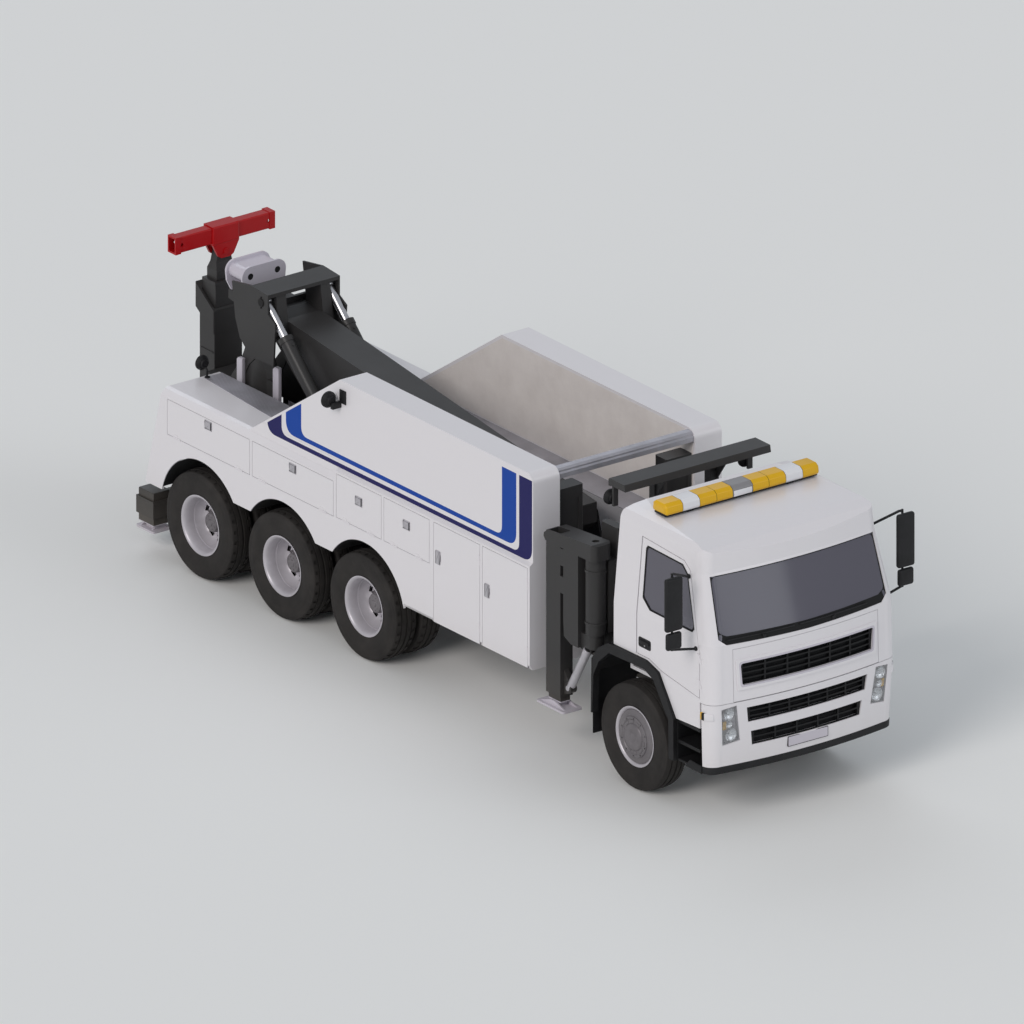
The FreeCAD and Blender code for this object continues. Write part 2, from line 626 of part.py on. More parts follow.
# ---------------------------------------------------------------- wrecker body
def body_right():
    """Locker box with arches, and the hollow wall above it, for the truck's right side."""
    panel_in = PANEL_X - SKIN
    side = [(BODY_FRONT, PANEL_LOW), (BODY_FRONT, 2030), (5045, 2030), (5045, DECK_Z),
            (8050, DECK_Z), (BODY_REAR, 845), (BODY_REAR, PANEL_LOW)]
    lower = prism_x(side, -PANEL_X, -WELL_X)
    outside = -PANEL_X - 27
    chamfer_rear = prism_y([(outside, 1888), (-PANEL_X, 1888), (-WALL_X, 1946), (-WALL_X + 49, DECK_Z),
                            (-WALL_X + 49, 2100), (outside, 2100)], 5045, 8400)
    chamfer_front = prism_y([(outside, 1990), (-PANEL_X, 1990), (-WALL_X, 2022), (-WALL_X, 2100),
                             (outside, 2100)], BODY_FRONT - 10, 5045)
    sill = prism_y([(outside, 700), (outside, 880), (-PANEL_X, 880), (-PANEL_X + 43, PANEL_LOW),
                    (-PANEL_X + 43, 700)], BODY_FRONT - 10, 3857)
    inner_step = box(-WALL_IN, -WELL_X, BODY_FRONT - 10, 5050, DECK_Z, 2100)
    lower = cut(lower, chamfer_rear, chamfer_front, sill, inner_step)
    wall_side = [(BODY_FRONT, 1990), (BODY_FRONT, WALL_TOP), (WALL_BACK_TOP, WALL_TOP),
                 (WALL_BACK_LOW, DECK_Z), (WALL_BACK_LOW, 1900), (BODY_FRONT, 1900)]
    wall = prism_x(wall_side, -WALL_X, -WALL_IN)
    wall = round_edges(wall, 110, lambda e: along(e, "x") and e.CenterOfMass.y < BODY_FRONT + 1
                       and e.CenterOfMass.z > WALL_TOP - 1)
    void_side = [(BODY_FRONT + SKIN, 2040), (BODY_FRONT + SKIN, WALL_TOP - 120),
                 (BODY_FRONT + 120, WALL_TOP - SKIN), (WALL_BACK_TOP - 10, WALL_TOP - SKIN),
                 (WALL_BACK_LOW - 190, 2040)]
    wall_void = prism_x(void_side, -WALL_X + SKIN, -WALL_IN - SKIN)
    tall = box(-panel_in, -WELL_X - SKIN, BODY_FRONT + SKIN, 3366, PANEL_LOW + SKIN, DECK_Z - SKIN)
    upper = box(-panel_in, -WELL_X - SKIN, 3366 + SKIN, 8000, LOCKER_LOW, 1888)
    bay = box(-panel_in, -WELL_X + 10, 3366 + SKIN, 8500, 300, LOCKER_LOW - SKIN)
    tail = box(-panel_in, -WELL_X + 10, 8000 + SKIN, 8500, 300, 1880)
    arches = [Part.makeCylinder(ARCH_R, 400, vec(outside - 100, y + ARCH_SHIFT, ARCH_Z), vec(1, 0, 0))
              for y in AXLES]
    low_cut = box(outside - 100, -900, AXLES[0] + ARCH_SHIFT, AXLES[2] + ARCH_SHIFT, 300, BETWEEN_LOW)
    body = cut(lower, bay, tail, low_cut, *arches)
    body = fuse(body, wall)
    end_plate = prism_x([(8022, DECK_Z - 4), (8050, DECK_Z - 4), (BODY_REAR, 845), (BODY_REAR - 30, 845)],
                        -PANEL_X + 10, -WELL_X)
    end_plate = end_plate.cut(box(outside, 0, 8000, 8500, 300, 1200))
    body = fuse(body, end_plate)
    body = cut(body, wall_void, tall, upper)
    return body.cut(chamfer_rear)


# Locker doors of one side: name, front, rear, bottom, top, hinge edge, latch (y, z).
LOCKERS = (
    ("front", 1700.0, 2492.0, 842.0, 1966.0, "front", 2405.0, 1490.0),
    ("tool", 2532.0, 3338.0, 842.0, 1966.0, "front", 3256.0, 1590.0),
    ("chain", 3408.0, 4202.0, 1473.0, 1966.0, "bottom", 3805.0, 1777.0),
    ("rope", 4241.0, 5028.0, 1473.0, 1966.0, "bottom", 4634.0, 1777.0),
    ("middle", 5074.0, 6487.0, 1467.0, 1866.0, "bottom", 5780.0, 1782.0),
    ("rear", 6526.0, 7961.0, 1467.0, 1866.0, "bottom", 7246.0, 1793.0),
)
LOCKER_GAP = 6.0
DOOR_SKIN = 26.0
HINGE_R = 8.0
HINGE_X = PANEL_X + 4             # hinge line, just proud of the panels


def hinge_barrel(hinge, edge, start, end, radius):
    """Length of hinge barrel: upright on a front edge, or along Y on a bottom edge."""
    if hinge == "front":
        return Part.makeCylinder(radius, end - start, vec(-HINGE_X, edge + LOCKER_GAP, start))
    return Part.makeCylinder(radius, end - start, vec(-HINGE_X, start, edge + LOCKER_GAP), vec(0, 1, 0))


def hinge_leaf(hinge, edge, start, end, reach):
    """Flat leaf from the hinge line onto the body (reach < 0) or onto the door (reach > 0)."""
    near, far = sorted((edge + LOCKER_GAP, edge + LOCKER_GAP + reach))
    if hinge == "front":
        return box(-PANEL_X - 3, -PANEL_X + 8, near, far, start, end)
    return box(-PANEL_X - 3, -PANEL_X + 8, start, end, near, far)


def hinge_stations(hinge, front, rear, low, high):
    """Starts of the hinges along the hinged edge of a door."""
    first, last = (low, high) if hinge == "front" else (front, rear)
    return [first + 120, last - 240]


BARREL_H = 60.0

body = body_right()
for name, front, rear, low, high, hinge, latch_y, latch_z in LOCKERS:
    body = body.cut(box(-PANEL_X - 10, -PANEL_X + SKIN + 1, front, rear, low, high))
partitions = [box(-PANEL_X + SKIN, -WELL_X - SKIN, 2500, 2524, PANEL_LOW + SKIN, DECK_Z - SKIN)]
partitions += [box(-PANEL_X + SKIN, -WELL_X - SKIN, y - 12, y + 12, LOCKER_LOW, 1888)
               for y in (4221.0, 5051.0, 6506.0)]
knuckles = []
clearances = []
for name, front, rear, low, high, hinge, latch_y, latch_z in LOCKERS:
    edge = front if hinge == "front" else low
    for start in hinge_stations(hinge, front, rear, low, high):
        end = start + BARREL_H
        knuckles += [hinge_barrel(hinge, edge, start, end, HINGE_R),
                     hinge_leaf(hinge, edge, start, end, -24)]
        clearances.append(hinge_barrel(hinge, edge, end, end + BARREL_H + FIT, HINGE_R + FIT))
body = fuse(body, *partitions).cut(Part.makeCompound(clearances))
body = fuse(body, *knuckles)
save("side_body_right", body)
save("side_body_left", mirrored(body))


def locker_door(front, rear, low, high, hinge, latch_y, latch_z):
    """Flush flap with a shallow pan pressed into its back, hinge barrels and a recessed latch."""
    gap = LOCKER_GAP
    flap = box(-PANEL_X, -PANEL_X + DOOR_SKIN, front + gap, rear - gap, low + gap, high - gap)
    pan = box(-PANEL_X + 12, -PANEL_X + 40, front + 50, rear - 50, low + 50, high - 50)
    boss = box(-PANEL_X + 4, -PANEL_X + DOOR_SKIN, latch_y - 65, latch_y + 65, latch_z - 55, latch_z + 55)
    pocket = box(-PANEL_X - 1, -PANEL_X + 10, latch_y - 48, latch_y + 48, latch_z - 38, latch_z + 38)
    handle = box(-PANEL_X + 2, -PANEL_X + 11, latch_y - 36, latch_y + 36, latch_z - 8, latch_z + 26)
    whole = fuse(flap.cut(pan), boss).cut(pocket).fuse(handle)
    edge = front if hinge == "front" else low
    for start in hinge_stations(hinge, front, rear, low, high):
        end = start + BARREL_H
        whole = whole.cut(hinge_barrel(hinge, edge, start - FIT, end + FIT, HINGE_R + FIT))
        whole = whole.fuse([hinge_barrel(hinge, edge, end + FIT, end + BARREL_H, HINGE_R),
                            hinge_leaf(hinge, edge, end + FIT, end + BARREL_H, 34)])
    return whole.removeSplitter()


for name, front, rear, low, high, hinge, latch_y, latch_z in LOCKERS:
    flap = locker_door(front, rear, low, high, hinge, latch_y, latch_z)
    save(f"{name}_locker_door_right", flap)
    save(f"{name}_locker_door_left", mirrored(flap))

# Tread plates on the decks, the floor of the well and the profile that ties the walls.
PLATE_T = 5.0
DECK_TOP = DECK_Z + FIT + PLATE_T
strip = prism_z([(-WALL_IN + 3, BODY_FRONT + 40), (-WALL_IN + 3, WALL_BACK_LOW), (-758, 8005),
                 (-WELL_X, 8005), (-WELL_X, BODY_FRONT + 40)], DECK_Z + FIT, DECK_TOP)

CROSSBAR_Y = 1742.0
profile = [(CROSSBAR_Y - 62, 2880), (CROSSBAR_Y - 62, 2930), (CROSSBAR_Y - 44, 2944),
           (CROSSBAR_Y - 44, 2962), (CROSSBAR_Y - 20, 2982), (CROSSBAR_Y + 40, 2990),
           (CROSSBAR_Y + 66, 2972), (CROSSBAR_Y + 66, 2880)]
bar = prism_x(profile, -WALL_IN + FIT, WALL_IN - FIT)
bar_void = box(-WALL_IN, WALL_IN, CROSSBAR_Y - 46, CROSSBAR_Y + 50, 2892, 2932)
well_floor = box(-WELL_X + 5, WELL_X - 5, 3300, 5250, 1180.6, 1186.6)
save("deck_plates", *pair(strip), well_floor, bar.cut(bar_void))

cabinet = box(-WALL_IN + 6, -540, 1712, 1912, DECK_TOP + FIT, 2740)
cabinet = round_edges(cabinet, 18, lambda e: along(e, "z"))
cabinet = cabinet.cut(box(-820, -600, 1700, 1722, 2120, 2600))
save("control_cabinets", *pair(cabinet))


# ---------------------------------------------------------------- subframe and recovery boom
SUB_TOP = RAIL_TOP + 120.0
SUB_IN = 345.0


def subframe():
    """Long beams on the rails, body bearers, boom pivot stand and cylinder feet, each one weldment."""
    parts = pair(box(-RAIL_X, -SUB_IN, 1300, 8236, RAIL_TOP + FIT, SUB_TOP))
    for y in (1900.0, 3250.0):
        parts.append(box(-SUB_IN + FIT, SUB_IN - FIT, y - 40, y + 40, SUB_TOP - 90, SUB_TOP))
        parts += pair(box(-WELL_X + FIT, -RAIL_X - FIT, y - 40, y + 40, SUB_TOP - 90, SUB_TOP))
    for y in (5325.0, 6745.0, 7950.0):
        post = box(-RAIL_X, -SUB_IN, y - 40, y + 40, SUB_TOP + FIT, LOCKER_LOW - SKIN - FIT)
        arm = prism_y([(-RAIL_X, 1300), (-RAIL_X, 1411.7), (83 - PANEL_X, 1411.7), (83 - PANEL_X, 1372),
                       (-800, 1300)], y - 40, y + 40)
        parts += pair(fuse(post, arm))
    y0, z0 = BOOM_PIVOT
    plate = prism_x([(y0 - 330, SUB_TOP + 8), (y0 - 90, z0 + 60), (y0 - 50, z0 + 95),
                     (y0 + 50, z0 + 95), (y0 + 90, z0 + 60), (y0 + 420, SUB_TOP + 8)], -250, -220)
    plate = plate.cut(Part.makeCylinder(90, 60, vec(-260, y0 + 20, 1480), vec(1, 0, 0)))
    foot = box(-RAIL_X, RAIL_X, y0 - 350, y0 + 440, SUB_TOP + FIT, SUB_TOP + 16)
    brace = box(-250, 250, y0 - 330, y0 - 300, SUB_TOP + 8, SUB_TOP + 330)
    parts.append(fuse(foot, *pair(plate), brace, rod(36, vec(-250, y0, z0), vec(250, y0, z0))))
    yb, zb = BASE
    ears = [prism_x([(yb - 170, SUB_TOP + 4), (yb - 60, zb + 40), (yb - 30, zb + 62),
                     (yb + 40, zb + 62), (yb + 70, zb + 30), (yb + 150, SUB_TOP + 4)], x0, x0 + 25)
            for x0 in (CYL_X - 72, CYL_X + 47)]
    ear_foot = box(CYL_X - 74, CYL_X + 74, yb - 180, yb + 160, SUB_TOP + FIT, SUB_TOP + 8)
    pin = rod(30, vec(CYL_X - 60, yb, zb), vec(CYL_X + 60, yb, zb))
    parts += pair(fuse(ear_foot, pin, *ears))
    return parts


save("subframe", *subframe())


def boom_top(y):
    return BOOM_TOP_AT_0 + BOOM_TOP_SLOPE * y


def boom_half(y, inset=0.0):
    return (335.5 + 0.0173 * y) / 2 - inset


def boom_form(inset):
    """Tapered box beam: side outline by plan outline."""
    side = [(2450 + inset, boom_top(2450) - inset), (7300 - inset, boom_top(7300) - inset),
            (7500 - inset, 2445), (6980, 2000 + inset), (6500, 1985 + inset), (2900, 1800 + inset),
            (2520 + inset, 1815 + inset), (2450 + inset, 1900)]
    plan = [(-boom_half(2400, inset), 2400), (boom_half(2400, inset), 2400),
            (boom_half(7500, inset), 7600), (-boom_half(7500, inset), 7600)]
    return prism_x(side, -300, 300).common(prism_z(plan, 1700, 2900))


ROLLER_FOOT = 2741.0
HEAD_X = 470.0
HEAD_T = 20.0
HEAD_SIDE = [(7284, 3045), (7575, 3068), (7910, 3014), (7850, 2620), (7770, 2420), (7575, 2249),
             (7462, 2275), (7189, 2279), (7156, 2757), (7284, 2830)]


def boom():
    """Box beam with its pivot tube, and the head that the cylinders push on."""
    y0, z0 = BOOM_PIVOT
    beam = boom_form(0).cut(boom_form(24))
    tube = rod(78, vec(-220 + FIT, y0, z0), vec(220 - FIT, y0, z0))
    plates = pair(prism_x(HEAD_SIDE, -HEAD_X, -HEAD_X + HEAD_T))
    block = prism_x([(7230, 2560), (7300, 3010), (7560, 3030), (7560, 2560), (7460, 2440)],
                    -350, -boom_half(7400) + 6)
    top = prism_x([(7284, 3005), (7284, 3045), (7575, 3068), (7575, 3010)], -HEAD_X, HEAD_X)
    back = box(-HEAD_X, HEAD_X, 7600, 7640, 2560, 2800)
    tongue = prism_x([(7280, 2560), (7280, 2690), (7500, ROLLER_FOOT - FIT), (8290, ROLLER_FOOT - FIT),
                      (8290, 2640), (7700, 2560)], -228, 228)
    link = pair(box(-350, -225, 7400, 7640, 2560, 2700))
    whole = fuse(beam, tube, *plates, *pair(block), top, back, tongue, *link)
    bore = rod(36 + FIT, vec(-400, y0, z0), vec(400, y0, z0))
    return whole.cut(bore)


save("recovery_boom", boom())


def stadium(half, radius, z, y0, y1):
    """Flat slab with round ends, swept along Y."""
    bar = box(-half, half, y0, y1, z - radius, z + radius)
    ends = [Part.makeCylinder(radius, y1 - y0, vec(side * half, y0, z), vec(0, 1, 0))
            for side in (-1, 1)]
    return fuse(bar, *ends)


# Roller head on the end of the boom: two cheek plates, rollers and their axle holes.
ROLLER_X = 175.0
ROLLER_Z = 2965.0
CHEEKS = ((7975.0, 7999.0), (8251.0, 8275.0))


def roller_head():
    cheeks = []
    for y0, y1 in CHEEKS:
        skirt = prism_y([(-285, 2965), (285, 2965), (275, 2860), (215, ROLLER_FOOT),
                         (-215, ROLLER_FOOT), (-275, 2860)], y0, y1)
        cheeks.append(fuse(stadium(ROLLER_X, 110, ROLLER_Z, y0, y1), skirt))
    rollers = stadium(ROLLER_X, 78, ROLLER_Z, CHEEKS[0][1] - 1, CHEEKS[1][0] + 1)
    base = box(-200, 200, CHEEKS[0][0], CHEEKS[1][1], ROLLER_FOOT, 2780)
    head = fuse(*cheeks, rollers, base)
    for side in (-1, 1):
        for y0, y1 in ((7970, 8010), (8240, 8280)):
            head = head.cut(Part.makeCylinder(36, y1 - y0, vec(side * ROLLER_X, y0, ROLLER_Z),
                                              vec(0, 1, 0)))
    return head


save("boom_roller_head", roller_head())

# Lift cylinders: barrels hinged at their feet, rods that run up to the boom's head.
LIFT_DIR = vec(0, EYE[0] - BASE[0], EYE[1] - BASE[1])
LIFT_LEN = LIFT_DIR.Length
LIFT_DIR.normalize()
BARREL_LEN = 1910.0


def on_cylinder(x, distance):
    return vec(x, BASE[0], BASE[1]) + LIFT_DIR * distance


def barrel(x):
    tube = rod(BARREL_R, on_cylinder(x, 120), on_cylinder(x, BARREL_LEN))
    neck = rod(38, on_cylinder(x, 0), on_cylinder(x, 130))
    collar = rod(BARREL_R + 8, on_cylinder(x, BARREL_LEN - 60), on_cylinder(x, BARREL_LEN))
    port = rod(16, on_cylinder(x, BARREL_LEN - 120) + vec(0, -60, 60), on_cylinder(x, BARREL_LEN - 120))
    eye = rod(62, vec(x - 42, *BASE), vec(x + 42, *BASE))
    whole = fuse(tube, neck, collar, eye, port)
    bore = rod(ROD_R + 0.4, on_cylinder(x, 150), on_cylinder(x, BARREL_LEN + 5))
    pin = rod(30 + FIT, vec(x - 90, *BASE), vec(x + 90, *BASE))
    return cut(whole, bore, pin)


def piston(x):
    bar = rod(ROD_R, on_cylinder(x, 170), on_cylinder(x, LIFT_LEN - 20))
    eye = rod(50, vec(x - 34, *EYE), vec(x + 34, *EYE))
    neck = rod(30, on_cylinder(x, LIFT_LEN - 60), on_cylinder(x, LIFT_LEN))
    return fuse(bar, eye, neck)


save("lift_cylinder_barrels", barrel(-CYL_X), barrel(CYL_X))
save("lift_cylinder_rods", piston(-CYL_X), piston(CYL_X))


# ---------------------------------------------------------------- underlift
MAST_Y = (8240.0 + FIT, 8560.0)
EAR_X = LIFT_W / 2 + 5            # inner face of the pivot ears


def underlift_mast():
    """Towers beside the boom, the mast box with its beam, the leg sleeves and the pivot ears."""
    tower = prism_x([(7380, SUB_TOP + FIT), (7420, 2170), (7462, 2270), (7560, 2390), (7720, 2450),
                     (7830, 2440), (8024, 2013), (8150, 1860), (8236, 1700), (8236, SUB_TOP + FIT)],
                    -280, -250)
    window = prism_x([(7560, 1420), (7560, 2050), (7700, 2200), (7860, 2050), (8060, 1700), (8060, 1420)],
                     -300, -240)
    tower = round_edges(tower.cut(window), 40, lambda e: along(e, "x") and 1500 < e.CenterOfMass.z < 2500
                        and 7500 < e.CenterOfMass.y < 8100)
    front_bar = box(-320, -279, 7300, 7395, SUB_TOP + FIT, 2181)
    front_bar = fuse(front_bar, box(-320, -279, 7300, 7500, 1900, 2000))
    rear_bar = box(-320, -279, 7930, 8020, SUB_TOP + FIT, 2090)
    floor = fuse(box(-320, 320, 7380, 8236, SUB_TOP + FIT, SUB_TOP + 30),
                 *pair(box(-RAIL_X, -300, 7400, 7880, SUB_TOP + FIT, SUB_TOP + 24)),
                 *pair(box(-RAIL_X, -300, 8010, 8236, SUB_TOP + FIT, SUB_TOP + 24)))
    tie = box(-280, 280, 8200, 8236, SUB_TOP + 20, 1700)
    y0, y1 = MAST_Y
    mast = box(-320, 320, y0, y1, 360, 1750).cut(box(-290, 290, y0 + 30, y1 - 30, 330, 1720))
    mast = round_edges(mast, 30, lambda e: along(e, "z") and e.CenterOfMass.y > y1 - 5)
    link = box(-320, 320, 8150, y0 - FIT, 1560, 1700)
    ear = prism_x([(y1 + FIT, 500), (y1 + FIT, 850), (8650, 780), (8790, 700), (8800, 640), (8780, 580),
                   (8725, 548), (8650, 530)], -EAR_X - 30, -EAR_X)
    pin = rod(40, vec(-EAR_X - 30, LIFT_Y, LIFT_PIVOT_Z), vec(EAR_X + 30, LIFT_Y, LIFT_PIVOT_Z))
    reach = 950 - FIT
    beam = box(-reach, reach, 8310, 8550, 380, 573).cut(box(-reach - 1, reach + 1, 8325, 8535, 395, 558))
    towers = fuse(*pair(tower), *pair(front_bar), *pair(rear_bar), floor, tie, link)
    return [towers, fuse(mast, beam), fuse(pin, *pair(ear)), *pair(stabiliser_sleeve())]


SLEEVE_WALL = 14.0
REAR_SLEEVE = (-1200.0, -950.0, 8300.0, 8597.0)
REAR_LEG_TOP = 655.0
REAR_FOOT_Z = 220.0


def telescope(x0, x1, y0, y1, z0, z1):
    """Square tube, open at both ends."""
    wall = SLEEVE_WALL
    return box(x0, x1, y0, y1, z0, z1).cut(box(x0 + wall, x1 - wall, y0 + wall, y1 - wall, z0 - 1, z1 + 1))


def stabiliser_sleeve():
    return telescope(*REAR_SLEEVE, 380, 573)


def leg(sleeve, z0, z1, pad_z):
    """Inner square tube, 6 mm clear of its sleeve, with wear pads that touch the walls."""
    x0, x1, y0, y1 = sleeve
    gap = SLEEVE_WALL + 6
    tube = box(x0 + gap, x1 - gap, y0 + gap, y1 - gap, z0, z1)
    tube = tube.cut(box(x0 + gap + 10, x1 - gap - 10, y0 + gap + 10, y1 - gap - 10, z0 + 12, z1 + 1))
    near = SLEEVE_WALL + FIT
    mid_x = (x0 + x1) / 2
    mid_y = (y0 + y1) / 2
    pads = []
    for z in pad_z:
        pads.append(box(mid_x - 40, mid_x + 40, y0 + near, y0 + gap + 1, z, z + 60))
        pads.append(box(mid_x - 40, mid_x + 40, y1 - gap - 1, y1 - near, z, z + 60))
        pads.append(box(x0 + near, x0 + gap + 1, mid_y - 40, mid_y + 40, z, z + 60))
        pads.append(box(x1 - gap - 1, x1 - near, mid_y - 40, mid_y + 40, z, z + 60))
    return fuse(tube, *pads)


def foot_plate(mid_x, mid_y, half_x, half_y, z0, z1, ear_axis):
    """Pressed foot with turned-up rim and two triangular ears around the leg."""
    plate = box(mid_x - half_x, mid_x + half_x, mid_y - half_y, mid_y + half_y, z0, z0 + 22)
    plate = round_edges(plate, 30, lambda e: along(e, "z"))
    block = box(mid_x - 60, mid_x + 60, mid_y - 60, mid_y + 60, z0 + 20, z1)
    ears = []
    for side in (-1, 1):
        if ear_axis == "y":
            y = mid_y + side * (half_y * 0.62)
            ears.append(prism_y([(mid_x - half_x + 20, z0 + 20), (mid_x - 30, z1 - 5), (mid_x + 30, z1 - 5),
                                 (mid_x + half_x - 20, z0 + 20)], y - 9, y + 9))
        else:
            x = mid_x + side * (half_x * 0.62)
            ears.append(prism_x([(mid_y - half_y + 20, z0 + 20), (mid_y - 30, z1 - 5), (mid_y + 30, z1 - 5),
                                 (mid_y + half_y - 20, z0 + 20)], x - 9, x + 9))
    return fuse(plate, block, *ears)


save("underlift_mast", *underlift_mast())

rear_x = (REAR_SLEEVE[0] + REAR_SLEEVE[1]) / 2
rear_y = (REAR_SLEEVE[2] + REAR_SLEEVE[3]) / 2
rear_leg = fuse(leg(REAR_SLEEVE, 290, REAR_LEG_TOP, (390.0, 500.0)),
                foot_plate(rear_x, rear_y, 130, 155, REAR_FOOT_Z, 295, "y"))
save("rear_leg_right", rear_leg)
save("rear_leg_left", mirrored(rear_leg))

# Outer arm of the underlift: pivot boss below, slanted mouth and collar above.
LIFT_FRONT = 8597.0
LIFT_REAR = 8852.0
MOUTH_FRONT = 2390.0
MOUTH_SLOPE = (LIFT_TOP - MOUTH_FRONT) / (LIFT_REAR - LIFT_FRONT)
ARM_WALL = 15.0


def mouth(y):
    return MOUTH_FRONT + MOUTH_SLOPE * (y - LIFT_FRONT)


def underlift_arm():
    outer = prism_x([(LIFT_FRONT, LIFT_PIVOT_Z), (LIFT_FRONT, mouth(LIFT_FRONT)),
                     (LIFT_REAR, mouth(LIFT_REAR)), (LIFT_REAR, LIFT_PIVOT_Z)], -LIFT_W / 2, LIFT_W / 2)
    boss = rod(LIFT_D / 2 - 0.5, vec(-LIFT_W / 2, LIFT_Y, LIFT_PIVOT_Z),
               vec(LIFT_W / 2, LIFT_Y, LIFT_PIVOT_Z))
    collar = prism_x([(8590, mouth(8590) - 265), (8590, mouth(8590)), (REAR_END, mouth(REAR_END)),
                      (REAR_END, mouth(REAR_END) - 265), (LIFT_REAR, mouth(LIFT_REAR) - 265)],
                     -LIFT_W / 2 - 16, LIFT_W / 2 + 16)
    collar = round_edges(collar, 14, lambda e: along(e, "z"))
    ribs = [box(-LIFT_W / 2 - 8, LIFT_W / 2 + 8, LIFT_FRONT + 20, LIFT_REAR - 20, z, z + 14)
            for z in (900, 1180, 1900)]
    washers = [rod(75, vec(side * LIFT_W / 2, LIFT_Y, LIFT_PIVOT_Z),
                   vec(side * (EAR_X - FIT), LIFT_Y, LIFT_PIVOT_Z)) for side in (-1, 1)]
    whole = fuse(outer, boss, collar, *ribs, *washers)
    cavity = box(-LIFT_W / 2 + ARM_WALL, LIFT_W / 2 - ARM_WALL, LIFT_FRONT + ARM_WALL,
                 LIFT_REAR - ARM_WALL, 860, 2800)
    bore = rod(40 + FIT, vec(-300, LIFT_Y, LIFT_PIVOT_Z), vec(300, LIFT_Y, LIFT_PIVOT_Z))
    return cut(whole, cavity, bore)


save("underlift_arm", underlift_arm())

SECTION_X = 150.0                 # half width of the second section
SECTION_Y = (8618.0, 8831.0)
KNUCKLE_Y = (8669.0, 8771.0)
KNUCKLE_Z = 3000.0
CROSS_AXLE_R = 36.0


def underlift_extension():
    """Second and third sections, wear pads and the knuckle that carries the crosshead."""
    y0, y1 = SECTION_Y
    second = box(-SECTION_X, SECTION_X, y0, y1, 950, 2690).cut(
        box(-SECTION_X + 14, SECTION_X - 14, y0 + 14, y1 - 14, 940, 2600))
    lip = box(-SECTION_X - 10, SECTION_X + 10, y0 - 8, y1 + 8, 2650, 2690)
    third = box(-120, 120, 8640, 8806, 2680, 2800)
    taper = Part.makeLoft([Part.makePolygon([vec(-hx, ya, z), vec(hx, ya, z), vec(hx, yb, z),
                                             vec(-hx, yb, z), vec(-hx, ya, z)])
                           for hx, ya, yb, z in ((120, 8640, 8806, 2800), (104, *KNUCKLE_Y, 2880))], True)
    knuckle = prism_y([(-104, 2878), (-75, KNUCKLE_Z), (75, KNUCKLE_Z), (104, 2878)], *KNUCKLE_Y)
    head = Part.makeCylinder(75, KNUCKLE_Y[1] - KNUCKLE_Y[0], vec(0, KNUCKLE_Y[0], KNUCKLE_Z), vec(0, 1, 0))
    pads = []
    for z in (980, 1600, 2180):
        pads.append(box(-LIFT_W / 2 + ARM_WALL + FIT, LIFT_W / 2 - ARM_WALL - FIT,
                        LIFT_Y - 50, LIFT_Y + 50, z, z + 90))
        pads.append(box(-60, 60, LIFT_FRONT + ARM_WALL + FIT, LIFT_REAR - ARM_WALL - FIT, z, z + 90))
    pads = fuse(*pads).cut(box(-SECTION_X + 5, SECTION_X - 5, y0 + 5, y1 - 5, 940, 2600))
    whole = fuse(second, lip, third, taper, knuckle, head, pads)
    bore = Part.makeCylinder(CROSS_AXLE_R + FIT, 300, vec(0, 8600, KNUCKLE_Z), vec(0, 1, 0))
    return whole.cut(bore)


save("underlift_extension", underlift_extension())

BAR_Y = (8652.0, 8780.0)
BAR_Z = (3108.0, 3287.0)
BAR_HALF = 647.0
SOCKET_X = 560.0
SOCKET_R = 20.0


def crosshead():
    """Square crossbar with open ends, hub, gussets, its pivot pin and the fork pin holes."""
    y0, y1 = BAR_Y
    z0, z1 = BAR_Z
    bar = box(-BAR_HALF, BAR_HALF, y0, y1, z0, z1)
    bar = round_edges(bar, 14, lambda e: along(e, "x"))
    hub = box(-170, 170, y0 - 22, y1 + 30, z0 - 14, z1 + 13)
    hub = round_edges(hub, 16, lambda e: along(e, "x") or along(e, "z"))
    gusset = [(-170, z0 - 12), (-170, z0 + 60), (170, z0 + 60), (170, z0 - 12), (100, 2960), (60, 2935),
              (-60, 2935), (-100, 2960)]
    gussets = [prism_y(gusset, ya, yb) for ya, yb in ((8634, 8664), (8776, 8808))]
    ends = [box(side * (BAR_HALF - 35) - 35, side * (BAR_HALF - 35) + 35, y0 - 6, y1 + 6, z0 - 6, z1 + 6)
            for side in (-1, 1)]
    pin = Part.makeCylinder(CROSS_AXLE_R, 190, vec(0, 8626, KNUCKLE_Z), vec(0, 1, 0))
    nut = Part.makeCylinder(52, 14, vec(0, 8806, KNUCKLE_Z), vec(0, 1, 0))
    whole = fuse(bar, hub, *gussets, *ends, pin, nut)
    tools = []
    for side in (-1, 1):
        inner = side * 300
        outer = side * (BAR_HALF + 10)
        tools.append(box(min(inner, outer), max(inner, outer), y0 + 14, y1 - 14, z0 + 14, z1 - 14))
        socket = vec(side * SOCKET_X, 8550, (z0 + z1) / 2)
        tools.append(Part.makeCylinder(SOCKET_R, 300, socket, vec(0, 1, 0)))
    return cut(whole, *tools)


save("crosshead", crosshead())


# ---------------------------------------------------------------- headboard and front outriggers
COLUMN = (-1110.0, 736.0)         # axis the outrigger arm swings about
COLUMN_R = 110.0
COLUMN_Z = (1505.0, 2355.0)
ARM_Z = (1500.0, 2360.0)          # clear height of the arm's bracket
SWING_PIN = 40.0


def outrigger_column():
    x, y = COLUMN
    z0, z1 = COLUMN_Z
    column = Part.makeCylinder(COLUMN_R, z1 - z0, vec(x, y, z0))
    pin = Part.makeCylinder(SWING_PIN, 1130, vec(x, y, 1330))
    web = box(-1010, -890, 640, 832, 1520, 2320)
    post = box(-900, -790, 642, 930, RAIL_TOP + 40, 2660)
    post = round_edges(post, 24, lambda e: along(e, "z"))
    collar = [Part.makeCylinder(COLUMN_R + 8, 26, vec(x, y, z)) for z in (z0 + 120, z1 - 146)]
    return fuse(column, pin, web, post, *collar)


